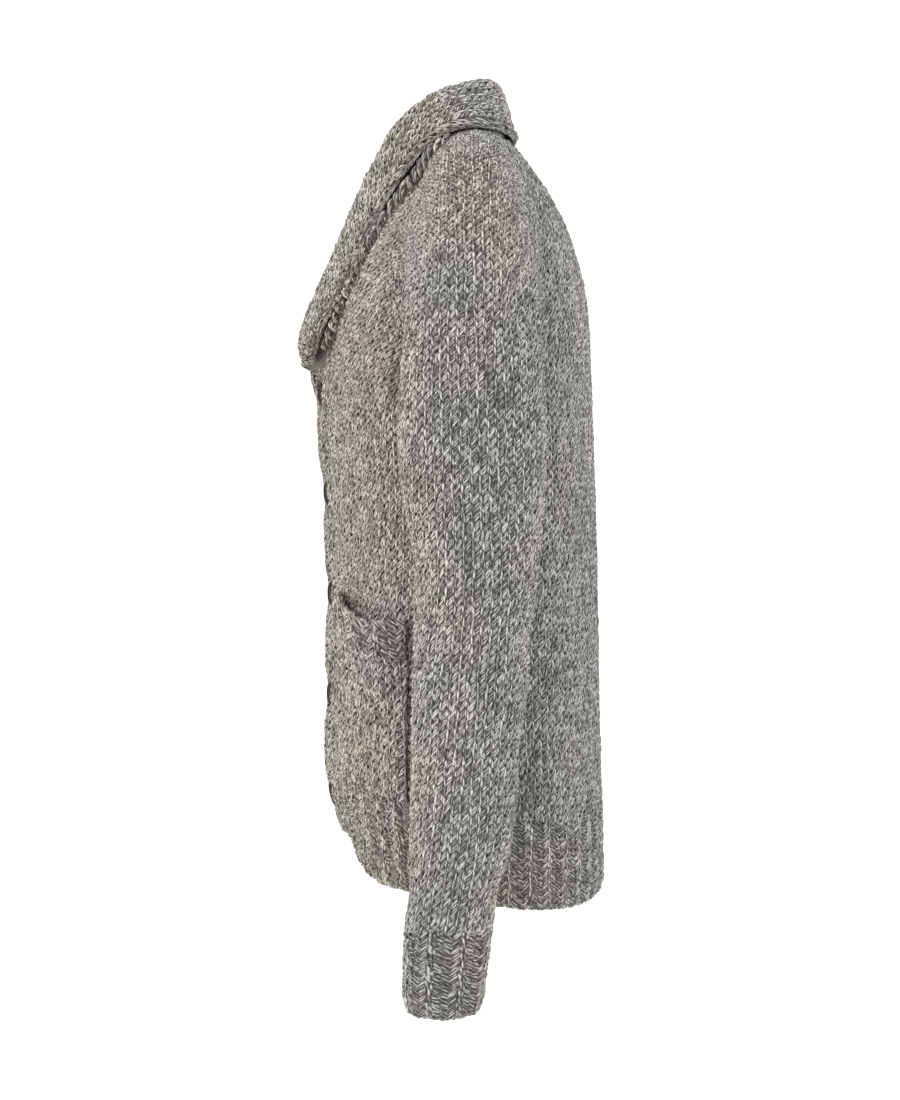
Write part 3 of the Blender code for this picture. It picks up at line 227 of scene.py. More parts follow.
# Soft creases: middle, direction, length, width, depth inward, all in metres.
CREASES = (
    ((0.158, -0.058, -0.330), (0.10, 0.02, 1.0), 0.085, 0.010, 0.0016),
    ((0.150, -0.066, -0.300), (0.06, 0.02, 1.0), 0.070, 0.008, -0.0012),
    ((0.110, -0.092, -0.300), (-0.25, 0.05, 1.0), 0.060, 0.012, 0.0010),
    ((0.105, 0.112, -0.330), (-0.20, 0.00, 1.0), 0.110, 0.016, 0.0022),
    ((0.062, 0.126, -0.400), (-0.08, 0.00, 1.0), 0.120, 0.016, -0.0014),
    ((-0.070, 0.124, -0.360), (0.15, 0.00, 1.0), 0.120, 0.016, 0.0020),
    ((-0.120, 0.106, -0.300), (0.25, 0.00, 1.0), 0.100, 0.014, -0.0014),
    ((0.015, 0.130, -0.500), (0.06, 0.00, 1.0), 0.090, 0.018, 0.0014),
    ((0.285, 0.008, -0.372), (0.05, 0.85, 0.40), 0.034, 0.009, 0.0015),
    ((0.284, 0.012, -0.452), (0.05, 0.90, -0.36), 0.038, 0.009, 0.0013),
    ((0.278, 0.030, -0.300), (0.10, 0.60, 0.75), 0.040, 0.010, 0.0014),
    ((0.272, 0.020, -0.560), (0.05, 0.90, 0.30), 0.034, 0.008, 0.0012),
    ((0.268, 0.000, -0.640), (0.05, 0.95, -0.20), 0.030, 0.007, 0.0012),
    ((-0.285, 0.010, -0.385), (-0.05, 0.85, 0.40), 0.036, 0.009, 0.0015),
    ((-0.282, 0.012, -0.470), (-0.05, 0.90, -0.30), 0.034, 0.009, 0.0013),
    ((-0.270, 0.016, -0.590), (-0.05, 0.90, 0.25), 0.034, 0.008, 0.0012),
    ((-0.150, -0.066, -0.310), (-0.08, 0.02, 1.0), 0.080, 0.010, 0.0015),
)

# ---------------------------------------------------------------- rims, wales and hidden parts
LAY_REACH = 0.020  # how near, and how straight above a panel, the collar is kept off it
LAY_ASIDE = 0.002
BAKE_WIDE = 0.49  # share of the bake map that the outside of a wall takes
FREE_RIM = 0.0016  # how far a wall stays inside a rim that yarn turns round
POCKET_SIDE = 0.0012  # the same at the sides and at the foot of a pocket
POCKET_FOOT = 0.0006
POCKET_ROWS = 24  # steps of the ribbed pieces' and the pockets' grids
POCKET_BAND_ROWS = 6
POCKET_STEPS = 30
HEM_ROWS = 12
CUFF_ROWS = 10
BUTTON_BAND_ROWS = 90
BUTTON_BAND_STEPS = 18
RIB_STEPS = 8
PART_WALE = 0.35  # a wale narrower than this share joins the one beside it
RIM_TURN = 2.2  # how far round a rim the yarn turns, in radians: free rims, pocket sides, others
SIDE_TURN = 1.6
POCKET_RIM_TURN = 2.6
ROPE_TURN = 2.4
TUCK_RIBBED = 0.0035  # how far the yarn runs on over a seam: hem and cuffs, bands, pocket bands
TUCK_BAND = 0.005
TUCK_POCKET = 0.006
HIDE_REACH = 0.016  # how near another layer is that hides a stitch
HIDE_DEEP = 4  # stitches that are kept inside the hiding layer's outline
RIB_KNIT = (0.18, 0.60)  # where in each rib its knit wale lies
RIB_FROM = 0.08  # where the wall under it rises, where it ends, and over what share of the rib
RIB_TO = 0.70
RIB_SLOPE = 0.14
RIB_SWELL = ((0.0, 0.07, 1.0), (0.35, 1.0, 0.75))  # how far, at shares of the rib's height
BAND_SHARES = (0.0, 0.15, 0.30, 0.42, 0.58, 0.70, 0.85, 1.0)  # of the wales across a button band
BAND_KINDS = "KKPKPKK"
RIM_COURSE = 0.0086  # length of one turn of the rope of yarn along a pocket's rim
CHAIN_REACH = 0.0130  # how far out from the collar's edge its chain of stitches runs
CHAIN_DROP = 0.20  # where it starts, as a share of the way down from the edge to the front
CHAIN_LIFT = 0.0008  # how far above the front it ends, and how far it swells between
CHAIN_SWELL = 0.0022
CHAIN_AHEAD = 0.004  # it runs ahead of this y, from this height up, and away from the middle
CHAIN_FROM = -0.182
CHAIN_ASIDE = 0.02
CHAIN_COURSE = 0.0088  # length of one of its stitches


# ---------------------------------------------------------------- curves
def hermite(t, start, end, start_slope, end_slope):
    near = (1 + 2 * t) * (1 - t) ** 2 * start + t * (1 - t) ** 2 * start_slope
    return near + t * t * (3 - 2 * t) * end - t * t * (1 - t) * end_slope


def column(rows, index, at):
    """A smooth curve through one column of a table, whose first column is the key."""
    keys = rows[:, 0]
    values = rows[:, index]
    slopes = np.gradient(values, keys)
    at = np.clip(at, keys[0], keys[-1])
    i = np.clip(np.searchsorted(keys, at) - 1, 0, len(keys) - 2)
    span = keys[i + 1] - keys[i]
    t = (at - keys[i]) / span
    return hermite(t, values[i], values[i + 1], span * slopes[i], span * slopes[i + 1])


def walk(points):
    """Distance along a line of points."""
    return np.concatenate([[0.0], np.cumsum(np.linalg.norm(np.diff(points, axis=0), axis=1))])


def at_shares(points, shares):
    """Points at shares, from 0 to 1, of the length of a line of points."""
    walked = walk(points)
    return np.column_stack([np.interp(shares * walked[-1], walked, p) for p in points.T])


def along(points, count):
    """Count + 1 points at even distances along a smooth curve through the points."""
    rows = np.column_stack([walk(points), points])
    fine = np.linspace(0.0, rows[-1, 0], 40 * count + 1)
    curve = np.column_stack([column(rows, k + 1, fine) for k in range(points.shape[1])])
    return at_shares(curve, np.linspace(0.0, 1.0, count + 1))


def ease(t):
    t = np.clip(t, 0.0, 1.0)
    return t * t * (3 - 2 * t)


def unit(v):
    return v / np.maximum(np.linalg.norm(v, axis=-1, keepdims=True), 1e-12)


def aside_of(v, n):
    """What is left of v when its part along the unit vector n is taken away."""
    return v - (v * n).sum(-1, keepdims=True) * n


def seat(x, z):
    """How deep the buttons press the bands in, from 0 to 1."""
    return sum(np.exp(-((np.hypot(x - BUTTON_X, z - at) / BUTTON_DRAW) ** 4)) for at in BUTTON_Z)


def bump(away, width):
    return np.exp(-((away / width) ** 2))


# ---------------------------------------------------------------- the garment's form
def torso(phi, z):
    """Outer point of the body. phi runs from the centre front, and pi is the centre back."""
    c = np.cos(phi)
    s = np.sin(phi)
    ahead = c > 0
    power = np.where(ahead, 2 / ROUND_FRONT, 2 / ROUND_BACK)
    degrees = np.degrees(np.abs(phi))
    flare = ARM_FLARE * bump(degrees - 90.0, 13.0) * ease((z + 0.275) / 0.027)
    x = (column(BODY, 1, z) + flare) * np.sign(s) * np.abs(s) ** power
    reach = np.where(ahead, column(BODY, 2, z), column(BODY, 3, z)) - Y_MID
    y = Y_MID + reach * np.abs(c) ** power
    nose = NOSE_DEPTH * bump(x - NOSE_X, NOSE_WIDTH)
    nose = nose * ease((-0.10 - z) / 0.08) * ease((z + 0.625) / 0.06) - BUTTON_SEAT * seat(x, z)
    y = y - np.where(ahead, nose, 0.0)
    swell = np.zeros_like(x)
    for at, level, depth, wide, tall in BODY_FOLDS:
        swell = swell - depth * bump(degrees - at, wide) * bump(z - level, tall)
    swell = swell * ease((z + 0.60) / 0.05)
    return np.stack([x + swell * s, y - swell * c, z + 0.0 * x], axis=-1)


def torso_normal(phi, z):
    step = 1e-4
    round_it = torso(phi + step, z) - torso(phi - step, z)
    up = torso(phi, z + step) - torso(phi, z - step)
    return unit(np.cross(round_it, up))


def phi_at(x, z):
    """The front's phi at a given x, without the nose."""
    ratio = np.clip(np.abs(x) / column(BODY, 1, z), 0.0, 1.0)
    return np.sign(x) * np.arcsin(ratio ** (ROUND_FRONT / 2))


def hem_z(phi, edge):
    """Height of the ribbed hem's lower edge, 1, or upper edge, 2."""
    return column(HEM_LINE, edge, np.degrees(np.abs(phi)))


def folded(phi):
    return np.where(phi > math.pi, phi - 2 * math.pi, phi)


def at_body(grid):
    return torso(folded(grid[..., 0]), grid[..., 1])


def raglan(rows, back):
    """phi and height of a raglan seam's points, from the underarm to the neck."""
    degrees = 180.0 - rows[:, 0] if back else rows[:, 0]
    spaced = along(np.column_stack([np.radians(degrees) * GIRTH_RADIUS, rows[:, 1]]), RAGLAN_STEPS)
    return spaced[:, 0] / GIRTH_RADIUS, spaced[:, 1]


def sleeve_ring(theta, z):
    """Outer point of the left sleeve's tube. theta 0 faces +X and 90 degrees faces +Y."""
    cx, cy, wide, deep = (column(SLEEVE, k, z) for k in (1, 2, 3, 4))
    degrees = np.degrees(theta) % 360.0
    push = np.zeros_like(degrees + z)
    for at, level, depth, spread, tall in SLEEVE_FOLDS:
        away = (degrees - at + 180.0) % 360.0 - 180.0
        push = push + depth * bump(away, spread) * bump(z - level, tall)
    x = cx + (wide - push) * np.cos(theta)
    y = cy + (deep - push) * np.sin(theta)
    return np.stack([x, y, z + 0.0 * x], axis=-1)


def front_grid(seam_x):
    """phi and height on the left front, from its band seam to the side seam, hem to neck."""
    u = np.linspace(0.0, 1.0, RAGLAN_STEPS + 1)
    phi0 = phi_at(seam_x, hem_z(phi_at(seam_x, HEM_TOP_Z), 2))
    bottom_phi = phi0 + (math.pi / 2 - phi0) * u
    bottom = np.column_stack([bottom_phi, hem_z(bottom_phi, 2)])
    top = np.column_stack(raglan(RAGLAN_FRONT, False))[::-1]
    straight_z = np.linspace(bottom[0, 1], BREAK_Z, BAND_ROWS + 1)
    line = V_LINE[:, ::-1].copy()
    line[0, 0] = seam_x
    line[-1] = (torso(*top[0])[0], top[0, 1])
    slant = along(line, FRONT_ROWS - BAND_ROWS)
    x = np.append(np.full(BAND_ROWS + 1, seam_x), slant[1:, 0])
    z = np.append(straight_z, slant[1:, 1])
    left = np.column_stack([phi_at(x, z), z])
    left[-1] = top[0]
    right_z = np.linspace(bottom[-1, 1], top[-1, 1], FRONT_ROWS + 1)
    right = np.column_stack([np.full(FRONT_ROWS + 1, math.pi / 2), right_z])
    return coons(bottom, top, left, right)


def coons(bottom, top, left, right):
    """A patch between four edges; rows run from bottom to top, columns from left to right."""
    u = np.linspace(0.0, 1.0, len(bottom))[None, :, None]
    v = np.linspace(0.0, 1.0, len(left))[:, None, None]
    ruled = (1 - v) * bottom[None] + v * top[None] + (1 - u) * left[:, None] + u * right[:, None]
    corners = (1 - v) * ((1 - u) * bottom[0] + u * bottom[-1])
    return ruled - corners - v * ((1 - u) * top[0] + u * top[-1])


def back_grid():
    phi, z = raglan(RAGLAN_BACK, True)
    neck_phi = np.linspace(phi[-1], math.pi, BACK_NECK_STEPS + 1)[1:]
    neck_z = z[-1] + NECK_RISE * ease((neck_phi - phi[-1]) / (math.pi - phi[-1]))
    half = np.column_stack([np.append(phi, neck_phi), np.append(z, neck_z)])
    other = half[:-1][::-1].copy()
    other[:, 0] = 2 * math.pi - other[:, 0]
    top = np.vstack([half, other])
    bottom_phi = np.linspace(math.pi / 2, 1.5 * math.pi, len(top))
    bottom = np.column_stack([bottom_phi, hem_z(folded(bottom_phi), 2)])
    v = np.linspace(0.0, 1.0, BACK_ROWS + 1)[:, None, None]
    return (1 - v) * bottom[None] + v * top[None]


def neck_edge():
    """The sleeve's own neck edge, from the front raglan to the back one."""
    phi, z = raglan(RAGLAN_FRONT, False)
    first = torso(phi[-1], z[-1])
    phi, z = raglan(RAGLAN_BACK, True)
    last = torso(phi[-1], z[-1])
    middle = np.array(NECK_TOP)
    quarter = 0.5 * (first + middle) + NECK_BULGES[0]
    three = 0.5 * (last + middle) + NECK_BULGES[1]
    return along(np.array([first, quarter, middle, three, last]), NECK_STEPS)


def sleeve_grid():
    """The left sleeve: rings of a tube from the cuff, then columns that turn to the seams."""
    theta = math.pi + 2 * math.pi * np.arange(SLEEVE_COLUMNS + 1) / SLEEVE_COLUMNS
    z = np.linspace(CUFF_TOP_Z, SLEEVE_RING_Z, SLEEVE_RINGS + 1)
    tube = sleeve_ring(theta[None, :], z[:, None])
    start = tube[-1]
    rise = unit(start - sleeve_ring(theta, np.full(theta.shape, SLEEVE_RING_Z - 1e-3)))
    front_phi, front_z = raglan(RAGLAN_FRONT, False)
    back_phi, back_z = raglan(RAGLAN_BACK, True)
    front = torso(front_phi, front_z)
    back = torso(back_phi, back_z)
    goal = np.vstack([front, neck_edge()[1:], back[::-1][1:]])
    share = np.linspace(0.0, 1.0, RAGLAN_STEPS + 1)
    tilt = np.radians(CAP_TILT_LOW + (CAP_TILT_HIGH - CAP_TILT_LOW) * share**0.8)
    aim = np.column_stack([-np.cos(tilt), 0 * tilt, np.sin(tilt)])
    hold = (CAP_HOLD_ENDS + CAP_HOLD_MIDDLE * np.sin(np.pi * share) ** 1.5)[:, None]
    aims = []
    for phi, level in ((front_phi, front_z), (back_phi, back_z)):
        n = torso_normal(phi, level)
        aims.append(aim - hold * (aim * n).sum(1)[:, None] * n)
    middle = np.repeat(aim[-1][None], NECK_STEPS - 1, axis=0)
    ends = unit(np.vstack([aims[0], middle, aims[1][::-1]]))
    chord = np.linalg.norm(goal - start, axis=1)[:, None]
    t = np.linspace(0.0, 1.0, CAP_ROWS + 1)[1:, None, None]
    cap = hermite(t, start, goal, rise * CAP_REACH_TUBE * chord, ends * CAP_REACH_SEAM * chord)
    return np.vstack([tube, cap])


def grid_normals(points, closed=False):
    """Area-weighted normals of a grid whose rows run up and columns run anticlockwise."""
    out = np.zeros_like(points)
    face = np.cross(points[1:, 1:] - points[:-1, :-1], points[1:, :-1] - points[:-1, 1:])
    out[:-1, :-1] += face
    out[:-1, 1:] += face
    out[1:, 1:] += face
    out[1:, :-1] += face
    if closed:
        out[:, 0] = out[:, -1] = out[:, 0] + out[:, -1]
    return out


def level_row(normals, row):
    """Make the walls of a seam that runs across meet squarely."""
    normals[row] = unit(normals[row] * [1.0, 1.0, 0.0])


def square_column(normals, at, rows):
    """Make the walls of an upright seam meet squarely."""
    normals[:rows, at] = unit(normals[:rows, at] * [0.0, 1.0, 1.0])


def common_normals(grids):
    """Unit normals for named grids, shared where two grids meet in a point."""
    loose = {name: grid_normals(points, closed) for name, (points, closed) in grids.items()}
    meetings = {}
    for name, (points, closed) in grids.items():
        last_row, last_column = points.shape[0] - 1, points.shape[1] - 1
        for r, c in np.ndindex(points.shape[:2]):
            if r in (0, last_row) or c in (0, last_column):
                key = tuple(np.round(points[r, c], 4) + 0.0)
                meetings.setdefault(key, []).append((name, r, c))
    for meeting in meetings.values():
        if len({name for name, r, c in meeting}) > 1:
            total = sum(unit(loose[name][r, c]) for name, r, c in meeting)
            for name, r, c in meeting:
                loose[name][r, c] = total
    normals = {name: unit(values) for name, values in loose.items()}
    for values in normals.values():
        level_row(values, 0)
    square_column(normals["front_left"], 0, BAND_ROWS + 1)
    square_column(normals["front_right"], -1, BAND_ROWS + 1)
    return normals


def mirrored(points):
    return (points * [-1.0, 1.0, 1.0])[:, ::-1]


def forward(points):
    """The points moved forward where the left side lies over the right one."""
    x = points[..., 0]
    low = ease((0.060 - x) / 0.033) * STEP_LOW
    step = ease((BAND_SEAM_LEFT - x) / 0.011) * (OVERLAP - STEP_LOW)
    fade = ease((-0.110 - points[..., 2]) / 0.060)
    above = ease((points[..., 2] - BREAK_Z + CURL_TALL) / CURL_TALL)
    out = points.copy()
    out[..., 1] -= (low + step) * fade + EDGE_LIFT * above * ease((CURL_EDGE - x) / CURL_WIDE)
    return out


def creased(points, normals):
    """The points moved in at the soft creases and out at the soft ridges."""
    push = np.zeros(points.shape[:-1])
    for middle, way, length, width, depth in CREASES:
        off = points - np.array(middle)
        run = off @ (np.array(way) / np.linalg.norm(way))
        aside = (off * off).sum(-1) - run * run
        push += depth * np.exp(-((run / length) ** 2) - aside / width**2)
    return points - push[..., None] * normals


# ---------------------------------------------------------------- the collar's form
def seam_path(panels, normals, left):
    """Half of the neckline from the break to the centre back, with the walls' directions."""
    tag = "left" if left else "right"
    places = []
    for grid in (panels, normals):
        slant = grid["front_" + tag][BAND_ROWS::FINE, 0 if left else -1]
        over, behind = (grid[name][-1][:: 1 if left else -1] for name in ("sleeve_" + tag, "back"))
        over = over[RAGLAN_STEPS : RAGLAN_STEPS + NECK_STEPS + 1 : FINE]
        behind = behind[RAGLAN_STEPS : RAGLAN_STEPS + BACK_NECK_STEPS + 1 : FINE]
        places.append(np.vstack([slant[:-1], over, behind[1:]]))
    path, facing = places
    fine = [[path[0]], [facing[0]]]
    for k in range(len(path) - 1):
        steps = SLANT_STEPS[k] if k < len(SLANT_STEPS) else 1
        for step in range(1, steps + 1):
            t = step / steps
            fine[0].append(path[k] * (1 - t) + path[k + 1] * t)
            fine[1].append(facing[k] * (1 - t) + facing[k + 1] * t)
    return np.array(fine[0]), unit(np.array(fine[1]))


def bezier(a, b, c, d):
    """Points of a curve from a to d that b and c draw toward them."""
    t = np.linspace(0.0, 1.0, SECTION_STEPS + 1)[:, None]
    return (1 - t) ** 3 * a + 3 * t * (1 - t) ** 2 * b + 3 * t * t * (1 - t) * c + t**3 * d


def strip_centre(x, z, left):
    """Middle of a button band's wall."""
    outer = torso(phi_at(x, z), z)
    if left:
        outer = forward(outer)
    return outer - torso_normal(phi_at(x, z), z) * WALL / 2


def off_strip(rows, left):
    """The rows with y measured forward from the button band."""
    x = rows[:, 0] if left else -rows[:, 0]
    y = strip_centre(x, rows[:, 2], left)[:, 1] - rows[:, 1]
    return np.column_stack([rows[:, 0], y, rows[:, 2]])


def flat_strip(foot, edge, left):
    """A section of the collar that lies along the button band."""
    x, z = (np.linspace(foot[k], edge[k], SECTION_STEPS + 1) for k in (0, 2))
    strip = strip_centre(x, z, left)
    share = np.linspace(0.0, 1.0, SECTION_STEPS + 1)
    strip[:, 2] = z
    strip = strip + (foot - strip[0]) * ((1 - share) ** 2)[:, None]
    return strip + (edge - strip[-1]) * (share**2)[:, None]


def curled(foot, roll, over, fall, left):
    """A section whose short fall curls over in an arc."""
    across = unit(roll - foot)
    across = unit(across - over * np.dot(across, over))
    reach = min(fall / 2, CURL_RADIUS)
    start = roll - across * reach
    walked = np.linspace(0.0, reach + fall, 13)[1:]
    angle = np.minimum(walked / CURL_RADIUS, CURL_MOST)
    rest = np.maximum(walked - CURL_RADIUS * CURL_MOST, 0.0)
    ahead = CURL_RADIUS * np.sin(angle) + rest * np.cos(angle)
    up = CURL_RADIUS * (1 - np.cos(angle)) + rest * np.sin(angle)
    arc = start + ahead[:, None] * across + up[:, None] * over
    return np.vstack([flat_strip(foot, start, left), arc])


def even(points):
    return at_shares(points, np.linspace(0.0, 1.0, COLLAR_ACROSS + 1))


def collar_half(panels, normals, left):
    """Sections of one half of the collar, each from the seam over the roll to the free edge."""
    seam, facing = seam_path(panels, normals, left)
    flip = np.array([1.0 if left else -1.0, 1.0, 1.0])
    starts = (ROLL_START_LEFT, EDGE_START_LEFT) if left else (ROLL_START_RIGHT, EDGE_START_RIGHT)
    walked = walk(seam)
    lines = [np.vstack([off_strip(start, left), rest]) for start, rest in zip(starts, (ROLL, EDGE))]
    paired = at_shares(along(np.hstack(lines), 400), np.linspace(0.0, 1.0, 401))
    paired = np.column_stack(
        [np.interp(walked / walked[-1], np.linspace(0.0, 1.0, 401), p) for p in paired.T]
    )
    roll = paired[:, :3] * flip
    edge = paired[:, 3:] * flip
    run = unit(np.gradient(seam, axis=0))
    roll_run = unit(np.gradient(roll, axis=0))
    sections = []
    for k in range(len(seam)):
        n = facing[k]
        inward = unit(np.cross(n, run[k]))
        if np.dot(inward, roll[k] - seam[k]) < 0:
            inward = -inward
        foot = seam[k] - n * WALL / 2 + inward * SEAM / 2
        over = unit(n - roll_run[k] * np.dot(n, roll_run[k]))
        far = np.linalg.norm(roll[k] - foot)
        stand = bezier(foot, foot + inward * STAND_PULL * far, roll[k] - over * TURN, roll[k])
        fall_far = np.linalg.norm(edge[k] - roll[k])
        turn = min(TURN * 1.6, 0.5 * fall_far)
        away = unit(edge[k] - roll[k])
        hang = edge[k] - away * FALL_PULL * fall_far
        fall = bezier(roll[k], roll[k] + over * turn, hang, edge[k])
        start = ease(walked[k] / COLLAR_START)
        if start < 1.0:
            stand = (1 - start) * flat_strip(foot, roll[k], left) + start * stand
            fall = fall + (stand[-1] - fall[0]) * np.linspace(1.0, 0.0, len(fall))[:, None]
        whole = even(np.vstack([stand, fall[1:]]))
        turned = ease((fall_far - CURL_UP_TO) / CURL_UP_TO)
        if turned < 1.0:
            curl = curled(foot, roll[k], over, fall_far, left)
            whole = turned * whole + (1 - turned) * even(curl)
        sections.append(whole)
    return np.array(sections), facing


def laid(grid, surface, need, first):
    """The grid's points lifted off a surface wherever they come nearer to it than need."""
    out = grid.copy()
    for index in np.ndindex(grid.shape[:2]):
        if index[1] < first:
            continue
        point = Vector(out[index])
        place, normal, face, distance = surface.find_nearest(point)
        off = (point - place).dot(normal)
        aside = (point - place - off * normal).length
        if off < need and distance < LAY_REACH and aside < LAY_ASIDE:
            out[index] = out[index] + np.array(normal) * (need - off)
    return out


def quads_of(at):
    """The four-sided faces between the numbered points of a grid."""
    return np.stack([at[:-1, :-1], at[:-1, 1:], at[1:, 1:], at[1:, :-1]], -1).reshape(-1, 4)


def tree_of(grids):
    verts = []
    faces = []
    for points in grids:
        at = len(verts) + np.arange(points[..., 0].size).reshape(points.shape[:2])
        verts += [Vector(p) for p in points.reshape(-1, 3)]
        faces += quads_of(at).tolist()
    return BVHTree.FromPolygons(verts, faces)


def finer(grid):
    """The grid with one more point between every two, both ways, on smooth curves."""
    for turn in range(2):
        slopes = np.gradient(grid, axis=0)
        at = np.arange(2 * len(grid) - 1) / 2
        i = np.minimum(at.astype(int), len(grid) - 2)
        grid = hermite((at - i)[:, None, None], grid[i], grid[i + 1], slopes[i], slopes[i + 1])
        grid = grid.swapaxes(0, 1)
    return grid


def collar_form(panels, panel_normals):
    """Middle of the collar's wall from its foot to its free edge, and the shown side's normals."""
    surface = tree_of([p[::FINE, ::FINE] for p in panels.values()])
    left, left_facing = collar_half(panels, panel_normals, True)
    right, right_facing = collar_half(panels, panel_normals, False)
    middle = 0.5 * (left[-1] + right[-1])
    centre = np.concatenate([left[:-1], middle[None], right[:-1][::-1]])
    facing = np.concatenate([left_facing, right_facing[:-1][::-1]])
    centre = laid(centre, surface, WALL / 2 + REST, COLLAR_ACROSS // 2)
    normals = unit(grid_normals(centre))
    level_row(normals, 0)
    level_row(normals, -1)
    side = np.sign((normals[:, 0] * facing).sum(-1, keepdims=True))
    normals[:, 0] = facing * side
    level_row(normals, 0)
    level_row(normals, -1)
    return finer(centre), unit(finer(normals))


# ---------------------------------------------------------------- meshes
def placed(name, data):
    made = bpy.data.objects.new(name, data)
    bpy.context.collection.objects.link(made)
    return made


def mesh_piece(name, points, faces, looks, uvs):
    """A piece from points and faces, with its maps: name to one pair for each face's corner."""
    mesh = bpy.data.meshes.new(name)
    mesh.from_pydata(points.tolist(), [], faces.tolist())
    for layer, pairs in uvs.items():
        mesh.uv_layers.new(name=layer).uv.foreach_set("vector", pairs.astype(np.float32).ravel())
    for look in looks:
        mesh.materials.append(look)
    mesh.shade_smooth()
    piece = placed(name, mesh)
    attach(piece, "root")
    return piece


def inset(points, normals, sides):
    """Move the named rims of a grid inward: bottom, top, left, right, each by its distance."""
    out = points.copy()
    for side, by in sides.items():
        swap = side in ("left", "right")
        p, n, moved = (g.swapaxes(0, 1) if swap else g for g in (points, normals, out))
        rim, inner = (0, 1) if side in ("bottom", "left") else (-1, -2)
        toward = aside_of(p[inner] - p[rim], unit(np.gradient(p[rim], axis=0)))
        moved[rim] += unit(aside_of(toward, n[rim])) * by
    return out


def wall(node, points, normals, sides, closed=False, lift=0.0):
    """The plain cloth behind the yarn: a closed wall, painted dark outside as the shade between the
    strands, and purled inside.
    """
    at = inset(points, normals, sides)
    if closed:
        at[:, -1] = at[:, 0]
    outer = at + normals * (np.asarray(lift)[..., None] - SKIN)
    inner = at - normals * WALL
    rows, columns = outer.shape[:2]
    grid = np.arange(rows * columns).reshape(rows, columns)
    if closed:
        grid[:, -1] = grid[:, 0]
    quads = quads_of(grid)
    shift = rows * columns
    rims = [(grid[0, 1:], grid[0, :-1]), (grid[-1, :-1], grid[-1, 1:])]
    if not closed:
        rims += [(grid[:-1, 0], grid[1:, 0]), (grid[1:, -1], grid[:-1, -1])]
    rim = np.concatenate([np.stack([a, b, b + shift, a + shift], -1) for a, b in rims])
    faces = np.concatenate([quads, quads[:, ::-1] + shift, rim])
    up = walk(points[:, columns // 2]) / COURSE
    across = walk(points[rows // 2]) / WALE
    flat = np.stack(np.meshgrid(across, up), -1).reshape(-1, 2)
    knit_uv = np.concatenate([flat, flat])[faces]
    own = np.meshgrid(np.linspace(0, BAKE_WIDE, columns), np.linspace(0, 1, rows))
    own = np.stack(own, -1).reshape(-1, 2)
    bake = np.concatenate([own, own + [1.0 - BAKE_WIDE, 0.0]])[faces]
    bake[-len(rim) :, 2] = bake[-len(rim) :, 1]
    bake[-len(rim) :, 3] = bake[-len(rim) :, 0]
    if closed:
        # The last column of faces closes the tube, so its far corners are read at the far side.
        for start, turn in ((0, (1, 2)), (len(quads), (2, 1))):
            last = start + np.arange(columns - 2, len(quads), columns - 1)
            for corner in turn:
                knit_uv[last, corner, 0] = across[-1]
                bake[last, corner, 0] = BAKE_WIDE if start == 0 else 1.0
    maps = {"Yarn": knit_uv.reshape(-1, 2), "OFBake": bake.reshape(-1, 2)}
    looks = (look_painted_shade(), look_purl())
    used = np.unique(faces)
    remap = np.zeros(2 * shift, int)
    remap[used] = np.arange(len(used))
    both = np.concatenate([outer.reshape(-1, 3), inner.reshape(-1, 3)])[used]
    piece = mesh_piece(node + "_cloth", both, remap[faces], looks, maps)
    side = np.zeros(len(faces), np.int32)
    side[len(quads) : 2 * len(quads)] = 1
    piece.data.polygons.foreach_set("material_index", side)
    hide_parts(node)
    return piece


def sample(grid, r, c):
    """The grid's values at fractional rows and columns."""
    r0 = np.clip(np.floor(r).astype(int), 0, grid.shape[0] - 2)
    c0 = np.clip(np.floor(c).astype(int), 0, grid.shape[1] - 2)
    s = (r - r0)[..., None]
    t = (c - c0)[..., None]
    low = grid[r0, c0] * (1 - t) + grid[r0, c0 + 1] * t
    high = grid[r0 + 1, c0] * (1 - t) + grid[r0 + 1, c0 + 1] * t
    return low * (1 - s) + high * s


def even_rows(line, course):
    """Places of evenly spaced courses along a line of points, counted in its points."""
    tall = walk(line)
    count = max(1, round(tall[-1] / course))
    return np.interp(np.linspace(0.0, tall[-1], count + 1), tall, np.arange(len(line)))


def edge_lines(points):
    """Grid places of the corners on the collar, whose wales run along its free edge."""
    points = points[:, ::-1]
    first, wide = BRAID
    wales = np.append([0.0, first], first + wide + COLLAR_WALE * np.arange(COLLAR_WALES))
    c = np.arange(points.shape[1]).astype(float)
    out = []
    for row in even_rows(points[:, 0], COURSE):
        arcs = walk(sample(points, np.full(len(c), row), c))
        place = c[-1] - np.interp(np.minimum(wales, arcs[-1]), arcs, c)
        out.append(np.stack([np.full(len(place), row), place], -1))
    return np.array(out)


